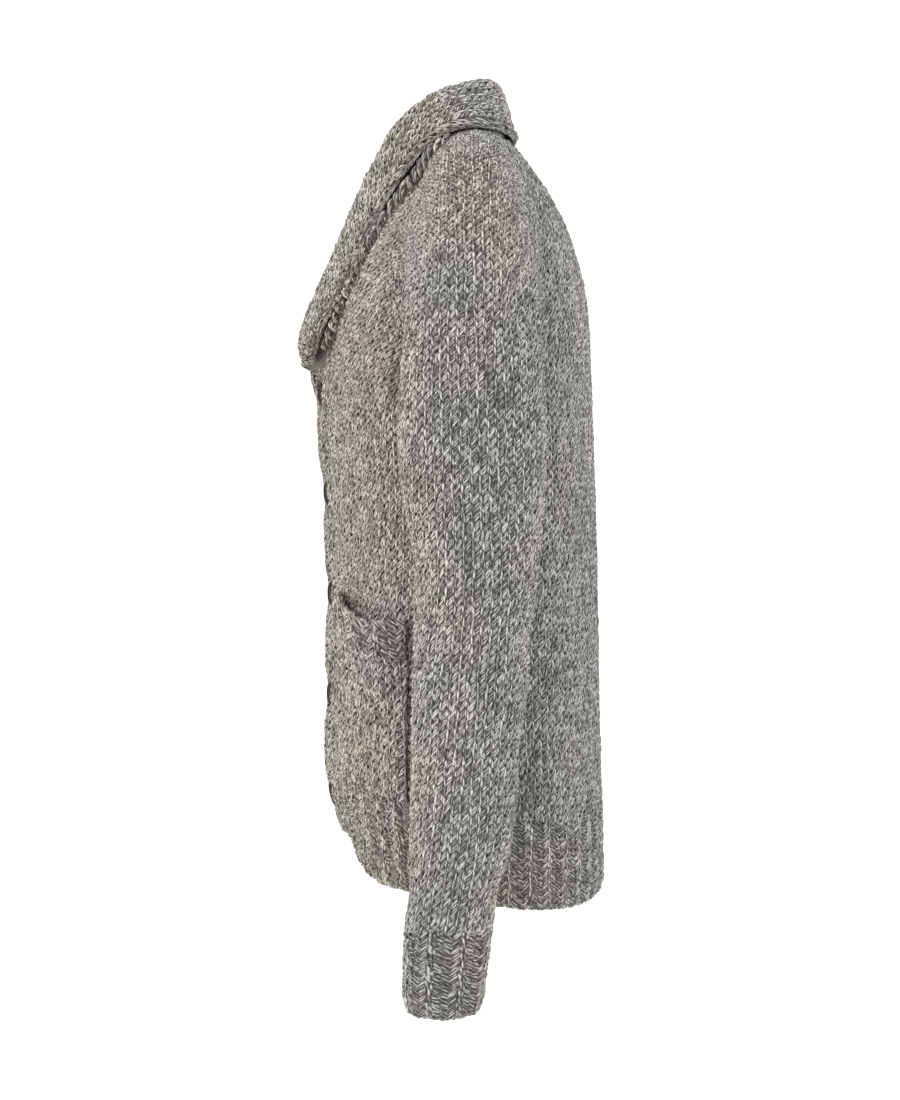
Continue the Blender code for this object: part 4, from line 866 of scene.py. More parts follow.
def stitch_lines(points, centre, border):
    """Grid places of the corners of the stitches: course lines by wale lines.

    Wales are counted from a centre column. The last few on each side keep to their seam, and
    the ones between end where the piece narrows.
    """
    rows, columns = points.shape[:2]
    up = np.array([walk(points[:, c]) for c in range(columns)]).T
    total = up[-1]
    count = max(1, round(total[centre] / COURSE))
    levels = np.linspace(0.0, total[centre], count + 1)
    courses = []
    for v in levels:
        ends = []
        for step in (-1, 1):
            c = centre
            while 0 <= c + step < columns and total[c + step] >= v - 1e-9:
                c += step
            part = 0.0
            if 0 <= c + step < columns:
                part = (total[c] - v) / max(total[c] - total[c + step], 1e-9)
            ends.append((c, c + step * min(max(part, 0.0), 1.0)))
        inner = np.arange(ends[0][0], ends[1][0] + 1)
        rs = np.array([np.interp(v, up[:, c], np.arange(rows)) for c in inner])
        cs = inner.astype(float)
        if ends[0][1] < ends[0][0]:
            cs = np.append(ends[0][1], cs)
            rs = np.append(rows - 1.0, rs)
        if ends[1][1] > ends[1][0]:
            cs = np.append(cs, ends[1][1])
            rs = np.append(rs, rows - 1.0)
        if len(cs) < 2:
            cs = np.append(cs, cs[-1] + 1e-3)
            rs = np.append(rs, rs[-1])
        arcs = walk(sample(points, rs, cs))
        arcs = arcs - np.interp(centre, cs, arcs)
        courses.append((arcs, rs, cs))
    lines = []
    widest = [min(a[0] for a, r, c in courses), max(a[-1] for a, r, c in courses)]
    for arcs, rs, cs in courses:
        sides = []
        ends = ((-arcs[0], -widest[0], border[0]), (arcs[-1], widest[1], border[1]))
        for edge, far, keep in ends:
            if far < 1e-6:
                sides.append(np.zeros(0))
                continue
            whole = max(1, math.ceil(far / WALE - PART_WALE))
            inner = np.arange(1, max(whole - keep, 0) + 1) * WALE
            inner = np.minimum(inner, max(edge - keep * WALE, 0.0))
            outer = np.maximum(edge - np.arange(keep - 1, -1, -1) * WALE, 0.0)
            both = np.append(inner, outer)
            if keep == 0:
                both[-1] = edge if inner[-1] >= edge - PART_WALE * WALE else both[-1]
            sides.append(both)
        u = np.concatenate([-sides[0][::-1], [0.0], sides[1]])
        lines.append(np.stack([np.interp(u, arcs, rs), np.interp(u, arcs, cs)], -1))
    return np.array(lines)


def even_lines(points, shares, course):
    """Grid places of the corners on a ribbed piece: even courses, and wale lines at shares."""
    columns = points.shape[1]
    r = even_rows(points[:, columns // 2], course)
    c = np.asarray(shares) * (columns - 1)
    return np.stack(np.meshgrid(r, c, indexing="ij"), -1)


# One leg of a knit stitch, from the top to the bottom: how far across, how far up, half width and
# how much of the yarn's height. The other leg is its mirror image.
LEG = table(
    (0.490, 1.22, 0.150, 0.55),
    (0.385, 0.84, 0.285, 1.00),
    (0.130, 0.14, 0.290, 0.97),
    (0.020, -0.20, 0.150, 0.50),
)
# One bar of a purl stitch, from left to right.
BAR = table(
    (-0.10, 0.54, 0.11, 0.35),
    (0.22, 0.42, 0.190, 0.95),
    (0.76, 0.14, 0.190, 1.00),
    (1.10, 0.02, 0.11, 0.35),
)
# One strand of the braid along an edge, from the edge inward, or of the chain beside it.
BRAIDED = table(
    (0.02, 1.00, 0.22, 0.50),
    (0.32, 0.54, 0.39, 1.50),
    (0.68, -0.10, 0.39, 1.50),
    (0.98, -0.54, 0.22, 0.50),
)
# Kinds of strand: the letter of the wales that they lie in, and their shape.
STRANDS = {
    "left": ("K", LEG),
    "right": ("K", LEG),
    "low": ("P", BAR),
    "high": ("P", BAR + [0.0, 0.5, 0.0, 0.0]),
    "braid": ("B", BRAIDED),
}
LEAN = {"low": 0.60, "high": 0.60, "braid": 0.22}  # how unevenly strands that lie across lean
UNEVEN_WIDE = 0.12  # how uneven strands are in width, place and height
UNEVEN_PLACE = 0.032
UNEVEN_TALL = 0.16
# Corners of a strand: which of the four rings, and how far across it, from -1 to 1.
CORNERS = [(0, -1), (0, 1), (1, -1), (1, -0.52), (1, 0.52), (1, 1)]
CORNERS += [(2, -1), (2, -0.52), (2, 0.52), (2, 1), (3, -1), (3, 1)]
# The corners' shares of the yarn's height; the shader also reads them as Crest, to paint shade on
# the low rims and ends.
STRAND_TOP = np.array([0.5, 0.5, 0, 1, 1, 0, 0, 1, 1, 0, 0.5, 0.5])
STRAND_FACES = table(
    (0, 3, 2), (0, 1, 4), (0, 4, 3), (1, 5, 4),
    (2, 3, 7), (2, 7, 6), (3, 4, 8), (3, 8, 7), (4, 5, 9), (4, 9, 8),
    (6, 7, 10), (7, 8, 11), (7, 11, 10), (8, 9, 11),
    (0, 2, 5), (0, 5, 1), (5, 2, 6), (5, 6, 9), (9, 6, 10), (9, 10, 11),
)
LEAST_WIDE = 0.30  # stitches narrower or lower than these shares are left out
LEAST_TALL = 0.45
STRAND_BACK = 14  # the faces from here on lie against the cloth


def strand_corners(template, kind, cells, rng):
    """Across, up and height of the twelve corners of a strand in each of a number of cells."""
    ring = [k for k, s in CORNERS]
    side = np.array([s for k, s in CORNERS])
    a, b, half, tall = (template[ring, k] for k in range(4))
    wide = 1.0 + UNEVEN_WIDE * rng.standard_normal((len(cells), 1))
    sway = UNEVEN_PLACE * rng.standard_normal((len(cells), 1))
    if kind in LEAN:
        lean = 1.0 + LEAN[kind] * rng.standard_normal((len(cells), 1))
        along_it = across = a + 0.4 * sway
        up = b.mean() + (b - b.mean()) * lean - side * half * wide + 2.2 * sway
    else:
        across = a + side * half * wide
        if kind == "right":
            across, side = 1.0 - across, -side
        across = across + sway
        along_it = up = b + 0 * wide
    height = STRAND_TOP * tall * (1.0 + UNEVEN_TALL * rng.standard_normal((len(cells), 1)))
    return across, up, height, along_it, 0.5 * (1 + side) + 0 * wide


def yarn(
    name, points, normals, lines, slot, seed, kinds=None, keep=True, raised=0.0, tall=1.0,
    press=0.0, fade=False,
):
    """All the strands of yarn on a piece, with a letter for each wale in kinds, K where it is None.

    With fade, strands that are raised come down to the cloth over two courses at the bottom.
    """
    rng = np.random.default_rng(seed)
    corners = sample(points, lines[..., 0], lines[..., 1])
    width = np.linalg.norm(np.diff(corners, axis=1), axis=-1)
    width = 0.5 * (width[:-1] + width[1:])
    height = np.linalg.norm(np.diff(corners, axis=0), axis=-1)
    height = 0.5 * (height[:, :-1] + height[:, 1:])
    good = (width > LEAST_WIDE * WALE) & (height > LEAST_TALL * COURSE) & keep
    kinds = kinds or "K" * good.shape[1]
    parts = []
    for kind, (wale, template) in STRANDS.items():
        cells = np.argwhere(good & np.array([k == wale for k in kinds]))
        if not len(cells):
            continue
        a, b, h, length, aside = strand_corners(template, kind, cells, rng)
        lift, size = (raised, tall) if wale == "K" else (0.0, 1.0)
        j = np.clip(cells[:, :1] + b, 0.0, len(lines) - 1.0)
        i = cells[:, 1:2]
        row = np.minimum(j.astype(int), len(lines) - 2)
        if fade:
            lift = lift * ease((j - 0.6) / 2.0)
        s = (j - row)[..., None]
        left, right = (lines[row, k] * (1 - s) + lines[row + 1, k] * s for k in (i, i + 1))
        rc = left * (1 - a[..., None]) + right * a[..., None]
        rc = np.clip(rc, 0, np.array(points.shape[:2]) - 1)
        base, up = (sample(grid, rc[..., 0], rc[..., 1]) for grid in (points, normals))
        own_width, own_height = (m[cells[:, 0], cells[:, 1]][:, None] for m in (width, height))
        narrow = np.minimum(1.0, own_width / WALE)
        out = -SUNK + (CREST + SUNK) * h * size * (0.4 + 0.6 * narrow) + lift
        out = out - press * seat(base[..., 0], base[..., 2])
        place = base + unit(up) * out[..., None]
        mm = length * ((own_height if wale == "K" else own_width) * 1000)
        mm = mm + 200.0 * rng.random((len(cells), 1))
        tri = place[0][STRAND_FACES]
        inward = (tri[:, 0] * np.cross(tri[:, 1], tri[:, 2])).sum() < 0
        parts.append((place, aside, mm, (length + 0.3) / 1.6, np.full(len(cells), inward)))
    place, aside, mm, share, flip = (np.concatenate(part) for part in zip(*parts))
    count = len(place)
    faces = STRAND_FACES[None] + 12 * np.arange(count)[:, None, None]
    faces[flip] = faces[flip][..., ::-1]
    faces = faces.reshape(-1, 3)
    side = math.ceil(math.sqrt(count))
    cell = np.stack([np.arange(count) % side, np.arange(count) // side], -1)
    bake = 0.08 + 0.84 * np.stack([aside, np.clip(share, 0, 1)], -1)
    bake = ((bake + cell[:, None]) / side).reshape(-1, 2)
    bake = bake[faces].reshape(count, len(STRAND_FACES), 3, 2)
    bake[:, STRAND_BACK:, :, 0] = bake[:, STRAND_BACK:, :1, 0]
    flat = np.stack([aside, mm], -1).reshape(-1, 2)
    maps = {"Yarn": flat[faces].reshape(-1, 2), "OFBake": bake.reshape(-1, 2)}
    piece = mesh_piece(name, place.reshape(-1, 3), faces, (look_yarn(slot),), maps)
    tone = np.repeat(rng.random(count), len(CORNERS))
    # Tone varies each strand at random; Crest carries the heights that the shader paints shade
    # from.
    for label, values in (("Tone", tone), ("Crest", np.tile(STRAND_TOP, count))):
        made = piece.data.attributes.new(label, "FLOAT", "POINT")
        made.data.foreach_set("value", values.astype(np.float32))
    return piece


def extended(points, normals, side, by):
    """The grid carried straight on past its bottom or its top rim, over the seam there."""
    if side == "bottom":
        return (g[::-1] for g in extended(points[::-1], normals[::-1], "top", by))
    more = points[-1] + by * unit(points[-1] - points[-2])
    return np.concatenate([points, more[None]]), np.concatenate([normals, normals[-1:]])


def wrapped(points, normals, side, turn=RIM_TURN, steps=4):
    """The grid carried on over one of its rims, so that yarn can turn round the wall's edge."""
    if side in ("left", "right"):
        p, n = points.swapaxes(0, 1), normals.swapaxes(0, 1)
        made = wrapped(p, n, "bottom" if side == "left" else "top", turn, steps)
        return (g.swapaxes(0, 1) for g in made)
    if side == "top":
        return (g[::-1] for g in wrapped(points[::-1], normals[::-1], "bottom", turn, steps))
    n0 = normals[0]
    out = unit(aside_of(points[0] - points[1], n0))
    radius = WALL / 2
    hub = points[0] - n0 * radius - out * radius
    angles = np.linspace(turn, 0.0, steps + 1)
    ways = np.array([out * math.sin(angle) + n0 * math.cos(angle) for angle in angles])
    return np.concatenate([hub + ways * radius, points[1:]]), np.concatenate([ways, normals[1:]])


def hidden(points, normals, lines, trees):
    """Which stitches lie well under another layer, so that nobody sees them."""
    middle = 0.25 * (lines[:-1, :-1] + lines[1:, :-1] + lines[:-1, 1:] + lines[1:, 1:])
    at, up = (sample(grid, middle[..., 0], middle[..., 1]) for grid in (points, normals))
    up = unit(up)
    under = np.zeros(at.shape[:2], bool)
    for index in np.ndindex(under.shape):
        start, way = Vector(at[index] + 0.0002 * up[index]), Vector(up[index])
        under[index] = any(t.ray_cast(start, way, HIDE_REACH)[0] is not None for t in trees)
    inside = slice(HIDE_DEEP, -HIDE_DEEP)
    deep = under.copy()
    for step in np.ndindex(2 * HIDE_DEEP + 1, 2 * HIDE_DEEP + 1):
        shift = np.array(step) - HIDE_DEEP
        deep &= np.roll(np.pad(under, HIDE_DEEP), shift, (0, 1))[inside, inside]
    return deep


# ---------------------------------------------------------------- materials
DARK = (0.032, 0.030, 0.028)
MID = (0.160, 0.151, 0.139)
FLECK = (0.300, 0.284, 0.260)
LIGHT = (0.68, 0.66, 0.62)
PLY = 2.0  # width of one ply across the yarn's turn, in millimetres
TWIST = math.radians(21.0)  # how far the plies turn away from the strand's length
WOOL = {
    "Roughness": 0.95, "Specular IOR Level": 0.18, "Sheen Weight": 0.30, "Sheen Roughness": 0.55,
    "Sheen Tint": (1.0, 0.95, 0.86, 1.0),
}


def nodes_of(name, values):
    """A new material, its tree, and its shader with some values set."""
    made = bpy.data.materials.new(name)
    made.use_nodes = True
    shader = made.node_tree.nodes["Principled BSDF"]
    for key, value in values.items():
        shader.inputs[key].default_value = value
    return made, made.node_tree, shader


def node(tree, kind, sockets=(), **facts):
    made = tree.nodes.new(kind)
    for key, value in facts.items():
        setattr(made, key, value)
    for key, value in dict(sockets).items():
        if isinstance(value, bpy.types.NodeSocket):
            tree.links.new(value, made.inputs[key])
        else:
            made.inputs[key].default_value = value
    return made


def maths(tree, operation, *values):
    return node(tree, "ShaderNodeMath", enumerate(values), operation=operation).outputs[0]


def total(tree, *terms):
    """The sum of terms: a value, or a pair of a value and what it is multiplied by."""
    parts = [maths(tree, "MULTIPLY", *t) if isinstance(t, tuple) else t for t in terms]
    return functools.reduce(lambda a, b: maths(tree, "ADD", a, b), parts)


def noise(tree, vector, scale, detail=2.0, **more):
    sockets = {"Vector": vector, "Scale": scale, "Detail": detail, **more}
    return node(tree, "ShaderNodeTexNoise", sockets).outputs["Fac"]


def own_place(tree):
    return node(tree, "ShaderNodeTexCoord").outputs["Object"]


def xyz(tree, vector):
    return node(tree, "ShaderNodeSeparateXYZ", {"Vector": vector}).outputs


def fact(tree, name):
    return node(tree, "ShaderNodeAttribute", attribute_name=name).outputs["Fac"]


def ramp(tree, factor, *stops):
    """Colours, or greys, at places along a factor."""
    made = node(tree, "ShaderNodeValToRGB", {"Fac": factor})
    line = made.color_ramp
    while len(line.elements) < len(stops):
        line.elements.new(0.5)
    for element, (at, colour) in zip(line.elements, stops):
        element.position = at
        element.color = (*np.broadcast_to(colour, 3), 1.0)
    return made.outputs["Color"]


def times(tree, a, b):
    """One colour multiplied by another."""
    sockets = {0: 1.0, 6: a, 7: b}
    return node(tree, "ShaderNodeMix", sockets, data_type="RGBA", blend_type="MULTIPLY").outputs[2]


def dress(tree, shader, colour, height, strength, distance):
    """Give the shader its colour and its relief."""
    sockets = {"Height": height, "Strength": strength, "Distance": distance}
    tree.links.new(colour, shader.inputs["Base Color"])
    tree.links.new(node(tree, "ShaderNodeBump", sockets).outputs[0], shader.inputs["Normal"])


def skein_patches_and_painted_side_light(tree):
    """Broad warm and cool patches where skeins differ at random, plus painted light: fronts
    warmest, the back cooler and darker, as if shaded.
    """
    where = own_place(tree)
    factor = maths(tree, "MULTIPLY_ADD", noise(tree, where, 9.0, 1.0), 0.6, 0.2)
    # Painted light: toward the front, on the warm key lamp's side, warmer; toward the back cooler
    # and darker, as if in shade.
    factor = total(tree, factor, (xyz(tree, where)["Y"], -1.2))
    return ramp(
        tree, factor, (0.34, (0.82, 0.85, 0.89)), (0.48, (0.99, 0.99, 0.98)),
        (0.58, (1.01, 0.98, 0.92)), (0.70, (0.95, 0.885, 0.80)),
    )


@functools.cache
def look_yarn(slot):
    """Plies of dark, middling and light fibres that turn round each strand, with painted shade on
    the strands' low rims and ends and painted side light from the patches.
    """
    made, tree, shader = nodes_of("yarn_" + slot, WOOL)
    parts = xyz(tree, node(tree, "ShaderNodeUVMap", uv_map="Yarn").outputs["UV"])
    x = maths(tree, "MULTIPLY", parts["X"], 3.8)
    y = parts["Y"]
    across = total(tree, (x, math.cos(TWIST)), (y, -math.sin(TWIST)))
    length = total(tree, (x, math.sin(TWIST)), (y, math.cos(TWIST)))
    plies, fibres = (
        node(tree, "ShaderNodeCombineXYZ", {"X": across, "Y": maths(tree, "MULTIPLY", length, by)})
        for by in (0.15, 0.12)
    )
    strokes = noise(tree, plies.outputs[0], 1.0, Roughness=0.6)
    hairs = noise(tree, fibres.outputs[0], 2.4, 1.0)
    ply = maths(tree, "SINE", total(tree, (across, 2 * math.pi / PLY), (strokes, 3.5)))
    tone, hair = (maths(tree, "SUBTRACT", value, 0.5) for value in (fact(tree, "Tone"), hairs))
    mixed = total(tree, (strokes, 0.8), 0.1, (tone, 0.13), (hair, 0.12), (ply, 0.095))
    colour = ramp(tree, mixed, (0.37, DARK), (0.455, MID), (0.545, FLECK), (0.63, LIGHT))
    # Painted shade: the strands' low rims and ends, read from Crest, are darkened as if in the
    # shade between strands.
    painted_groove_shade = ramp(tree, fact(tree, "Crest"), (0.0, (0.46, 0.455, 0.45)), (0.5, 0.90), (0.9, 1.0))
    colour = times(tree, times(tree, colour, skein_patches_and_painted_side_light(tree)), painted_groove_shade)
    dress(tree, shader, colour, total(tree, (ply, 0.35), (hairs, 0.6)), 0.6, 0.0006)
    return made


@functools.cache
def look_painted_shade():
    """The cloth seen between the strands, painted dark as the shade that lies there."""
    made, tree, shader = nodes_of("cloth_behind_painted_shade", WOOL)
    fine = noise(tree, own_place(tree), 900.0)
    # Painted shade: near-black, far darker than the yarn itself.
    colour = ramp(tree, fine, (0.35, (0.035, 0.033, 0.031)), (0.65, (0.14, 0.133, 0.125)))
    dress(tree, shader, colour, fine, 0.5, 0.0005)
    return made


@functools.cache
def look_purl():
    """The wrong side: rows of small purl bumps in the same marled yarn, with painted shade between
    the rows.
    """
    made, tree, shader = nodes_of("cloth_inside", WOOL)
    uv = node(tree, "ShaderNodeUVMap", uv_map="Yarn").outputs["UV"]
    parts = xyz(tree, uv)
    sway = maths(tree, "SINE", maths(tree, "MULTIPLY", parts["X"], 2 * math.pi))
    row = total(tree, parts["Y"], (sway, 0.16))
    bars = total(tree, (maths(tree, "SINE", maths(tree, "MULTIPLY", row, 4 * math.pi)), 0.5), 0.5)
    stretch = node(tree, "ShaderNodeMapping", {"Vector": uv, "Scale": (2.6, 7.0, 1.0)})
    marl = noise(tree, stretch.outputs[0], 1.0, 2.5)
    colour = times(tree, ramp(tree, marl, (0.34, MID), (0.50, FLECK), (0.70, LIGHT)), skein_patches_and_painted_side_light(tree))
    # Painted shade: the yarn is darkened between the rows of purl bumps.
    colour = times(tree, colour, ramp(tree, bars, (0.0, 0.35), (0.6, 1.0)))
    dress(tree, shader, colour, total(tree, bars, (marl, 0.4)), 0.9, 0.0016)
    return made


def look_button():
    """Dark horn with a faint swirl."""
    made, tree, shader = nodes_of("button_horn", {"Specular IOR Level": 0.10})
    swirl = noise(tree, own_place(tree), 160.0, 3.0, Roughness=0.6, Distortion=1.2)
    colour = ramp(
        tree, swirl, (0.30, (0.006, 0.004, 0.003)), (0.55, (0.016, 0.011, 0.008)),
        (0.75, (0.040, 0.026, 0.018)),
    )
    worn = ramp(tree, swirl, (0.3, 0.42), (0.7, 0.58))
    tree.links.new(worn, shader.inputs["Roughness"])
    dress(tree, shader, colour, swirl, 0.15, 0.0002)
    return made


# ---------------------------------------------------------------- forms of the ribbed pieces
def hem_form(name, start, end, ribs, knots):
    """A hem between two pairs of lower and upper angles, under the points of the panel above."""
    share = np.linspace(0.0, 1.0, ribs * RIB_STEPS + 1)
    low_phi, top_phi = (a + (b - a) * share for a, b in zip(start, end))
    level = np.linspace(0.0, 1.0, HEM_ROWS + 1)[:, None]
    phi = low_phi + (top_phi - low_phi) * ease(level / 0.25)
    low = hem_z(folded(low_phi), 1)
    top = np.interp(top_phi, knots[:, 0], knots[:, 1])
    z = low[None] + (top - low)[None] * level
    base = torso(folded(phi), z)
    if name == "hem_front_left":
        base = forward(base)
    n = unit(grid_normals(base))
    if name != "hem_back":
        square_column(n, 0 if name == "hem_front_left" else -1, len(n))
    for row in range(len(n)):
        level_row(n, row)
    return base, n


def cuff_form(mirror):
    """A cuff, drawn in at its lower rim."""
    theta = math.pi + 2 * math.pi * np.linspace(0.0, 1.0, CUFF_RIBS * RIB_STEPS + 1)
    low = CUFF_BOTTOM_Z - CUFF_SLANT * np.cos(theta)
    z = low[None] + (CUFF_TOP_Z - low[None]) * np.linspace(0.0, 1.0, CUFF_ROWS + 1)[:, None]
    base = sleeve_ring(np.repeat(theta[None], len(z), axis=0), z)
    hub = base[:, :-1].mean(axis=1, keepdims=True)
    drawn = RIM_DRAW * (1 - ease((z - low) / RIM_TALL))
    base = base - unit((base - hub) * [1.0, 1.0, 0.0]) * drawn[..., None]
    if mirror:
        base = mirrored(base)
    n = unit(grid_normals(base, True))
    level_row(n, -1)
    return base, n


def band_form(seam_x, edge_x):
    """A button band from its seam to its free edge."""
    left = seam_x > edge_x
    x = np.sort(seam_x + (edge_x - seam_x) * np.linspace(0.0, 1.0, BUTTON_BAND_STEPS + 1))
    z_low = hem_z(phi_at(x, HEM_LOW_Z), 1)
    share = np.linspace(0.0, 1.0, BUTTON_BAND_ROWS + 1)
    z = z_low[None] + (BREAK_Z - z_low)[None] * share[:, None]
    base = torso(phi_at(np.repeat(x[None], len(share), axis=0), z), z)
    if left:
        base = forward(base)
    n = unit(grid_normals(base))
    square_column(n, -1 if left else 0, len(n))
    level_row(n, -1)
    return base, n


def pocket_form(mirror):
    """A pocket with its band."""
    inner_phi = phi_at(POCKET_INNER_X, POCKET_MIDDLE_Z)
    u = np.linspace(0.0, 1.0, POCKET_STEPS + 1)
    phi = inner_phi + (POCKET_OUTER_PHI - inner_phi) * u
    low = hem_z(phi, 2) + REST
    top = POCKET_TOP_INNER + (POCKET_TOP_OUTER - POCKET_TOP_INNER) * ease(u * 1.4)
    v = np.linspace(0.0, 1.0, POCKET_ROWS + 1)[:, None]
    seam_z = top - POCKET_BAND
    band_z = seam_z + POCKET_BAND * np.linspace(0.0, 1.0, POCKET_BAND_ROWS + 1)[1:, None]
    z = np.vstack([low + (seam_z - low) * v, band_z])
    wide = np.repeat(phi[None], len(z), axis=0)
    share = (z - low) / (top - low)
    gap = POCKET_BULGE * np.sin(math.pi * u)[None] ** 0.8 * share**1.6
    base = torso(wide, z) + torso_normal(wide, z) * (REST + WALL + gap)[..., None]
    base = mirrored(base) if mirror else forward(base)
    n = unit(grid_normals(base))
    level_row(n, POCKET_ROWS)
    return base, n


def rib_wales(ribs):
    """Shares of the width at which the wales of knit and purl meet, and the wales' kinds."""
    middle = 0.5 * (RIB_KNIT[1] + 1.0 + RIB_KNIT[0])
    shares = [(k + part) / ribs for k in range(ribs) for part in (*RIB_KNIT, middle)]
    return [0.0, *shares, 1.0], ["P"] + ["K", "P", "P"] * ribs


def rib_lift(ribs, columns, rows):
    """How far a ribbed wall stands out, by row and column."""
    part = np.linspace(0.0, ribs, columns) % 1.0
    rise = ease((part - RIB_FROM) / RIB_SLOPE) * ease((RIB_TO - part) / RIB_SLOPE)
    swell = np.interp(np.linspace(0, 1, rows), *RIB_SWELL)
    return RIB_RELIEF * rise[None] * swell[:, None]


def beside(edges, inners, surface):
    """A narrow grid from under a line along the collar's free edge out onto a surface."""
    grid = []
    steps = np.linspace(0.0, 1.0, 5)[:, None]
    for edge, inner in zip(edges, inners):
        place, normal = surface.find_nearest(Vector(edge))[:2]
        n = np.array(normal)
        out = edge - inner
        out = unit(out - n * np.dot(out, n))
        far, far_normal = surface.find_nearest(place + Vector(out * CHAIN_REACH))[:2]
        far = np.array(far) + CHAIN_LIFT * np.array(far_normal)
        near = edge + (np.array(place) - edge) * CHAIN_DROP
        grid.append(near + (far - near) * steps + n * CHAIN_SWELL * np.sin(math.pi * steps))
    grid = np.array(grid)
    n = unit(grid_normals(grid))
    surface_n = np.array(surface.find_nearest(Vector(grid[4, 2]))[1])
    return grid, n * np.sign(np.dot(n[4, 2], surface_n))


def pocket_part(name, points, n, sides):
    """The cloth of a pocket or its band, and its grid with both sides turned round."""
    sides = {**sides, "left": POCKET_SIDE, "right": POCKET_SIDE}
    turned = wrapped(*wrapped(points, n, "left", SIDE_TURN), "right", SIDE_TURN)
    return wall(name, points, n, sides), *turned


# ---------------------------------------------------------------- panels
tube = sleeve_grid()
shapes = {
    "front_left": (forward(at_body(front_grid(BAND_SEAM_LEFT))), False),
    "front_right": (mirrored(at_body(front_grid(-BAND_SEAM_RIGHT))), False),
    "back": (at_body(back_grid()), False),
    "sleeve_left": (tube, True),
    "sleeve_right": (mirrored(tube), True),
}
normals = common_normals(shapes)
plain = {name: points for name, (points, closed) in shapes.items()}
collar_mid, collar_n = collar_form(plain, normals)
pocket_forms = {"left": pocket_form(False), "right": pocket_form(True)}
pocket_trees = {tag: tree_of([form[0]]) for tag, form in pocket_forms.items()}
collar_tree = tree_of([collar_mid])

for seed, (name, (points, closed)) in enumerate(shapes.items()):
    n = normals[name]
    points = creased(points, n)
    rims = ("bottom", "top") if closed else ("bottom", "top", "left", "right")
    cloth = wall(name, points, n, dict.fromkeys(rims, SEAM / 2), closed)
    # The wale that the others are counted from, and how many at each side keep to their seam.
    centre, border = {
        "back": (points.shape[1] // 2, (2, 2)),
        "front_left": (0, (0, 2)),
        "front_right": (points.shape[1] - 1, (2, 0)),
    }.get(name, (SLEEVE_COLUMNS // 2, (3, 3)))
    lines = stitch_lines(points, centre, border)
    trees = [collar_tree]
    if name.startswith("front"):
        trees.append(pocket_trees[name[6:]])
    keep = ~hidden(points, n, lines, trees)
    parts = {"_yarn": keep}
    if name == "back":
        first = keep & (np.arange(keep.shape[1]) < keep.shape[1] // 2)
        parts = {"_yarna": first, "_yarnb": keep & ~first}
    strands = [
        yarn(name + label, points, n, lines, "knit", 10 * seed + k, keep=part)
        for k, (label, part) in enumerate(parts.items())
    ]

# ---- hem and cuffs
side = math.pi / 2
left_band, right_band = (
    [phi_at(x, z) for z in (HEM_LOW_Z, HEM_TOP_Z)] for x in (BAND_SEAM_LEFT, BAND_SEAM_RIGHT)
)
right_row = (front_grid(-BAND_SEAM_RIGHT)[0] * [-1.0, 1.0])[::-1]
hems = (
    ("hem_back", [side] * 2, [3 * side] * 2, HEM_RIBS_BACK, back_grid()[0]),
    ("hem_front_left", left_band, [side] * 2, HEM_RIBS_FRONT, front_grid(BAND_SEAM_LEFT)[0]),
    ("hem_front_right", [-side] * 2, right_band, HEM_RIBS_FRONT, right_row),
)
ribbed = [(hem[0], hem_form(*hem), hem[3]) for hem in hems]
ribbed += [(f"cuff_{tag}", cuff_form(tag == "right"), CUFF_RIBS) for tag in ("left", "right")]
for seed, (name, (points, n), ribs) in enumerate(ribbed):
    points = creased(points, n)
    lift = rib_lift(ribs, points.shape[1], points.shape[0])
    shares, kinds = rib_wales(ribs)
    if name.endswith("right"):
        lift = lift[:, ::-1]
        shares, kinds = [1.0 - s for s in shares][::-1], kinds[::-1]
    closed = name.startswith("cuff")
    sides = {"bottom": FREE_RIM, "top": SEAM / 2}
    if not closed:
        sides.update({"left": SEAM / 2, "right": SEAM / 2})
    cloth = wall(name, points, n, sides, closed, lift)
    round_p, round_n = extended(*wrapped(points, n, "bottom"), "top", TUCK_RIBBED)
    lines = even_lines(round_p, shares, RIB_COURSE)
    strands = yarn(
        name + "_yarn", round_p, round_n, lines, "rib", 100 + seed, kinds,
        raised=RIB_RELIEF * 0.4, tall=0.95, fade=True,
    )

# ---- button bands: the free side, the sewn side, their x, how far raised and how far pressed in
bands = (
    ("left", "right", BAND_SEAM_LEFT, BAND_EDGE_LEFT, 0.0006, 0.0014),
    ("right", "left", BAND_SEAM_RIGHT, BAND_EDGE_RIGHT, -0.0004, 0.0),
)
for seed, (free, sewn, seam_x, edge_x, raised, press) in enumerate(bands):
    points, n = band_form(seam_x, edge_x)
    if free == "left":
        rise = np.interp(points[..., 0], BULGE_X, [0.0, 1.0, 1.0, 0.0]) * BULGE
        rise = rise * sum(bump(points[..., 2] - z, BULGE_TALL) for z in BUTTON_Z)
        points = points + n * rise[..., None]
    sides = {"bottom": FREE_RIM, "top": SEAM / 2, free: FREE_RIM, sewn: SEAM / 2}
    cloth = wall("band_" + free, points, n, sides)
    round_p, round_n = extended(*wrapped(points, n, "bottom"), "top", TUCK_BAND)
    round_p, round_n = wrapped(round_p, round_n, free)
    lines = even_lines(round_p, BAND_SHARES, COURSE)
    strands = yarn(
        f"band_{free}_yarn", round_p, round_n, lines, "rib", 110 + seed, BAND_KINDS,
        raised=raised, tall=0.9, press=press,
    )

# ---- collar
points = collar_mid + collar_n * WALL / 2
sides = {"bottom": SEAM / 2, "top": SEAM / 2, "left": SEAM / 2, "right": FREE_RIM}
cloth = wall("collar", points, collar_n, sides)
round_p, round_n = wrapped(points, collar_n, "right", ROPE_TURN, 5)
lines = edge_lines(round_p)
kinds = "KB" + "K" * (lines.shape[1] - 3)
strands = [yarn("collar_yarn", round_p, round_n, lines, "knit", 120, kinds)]

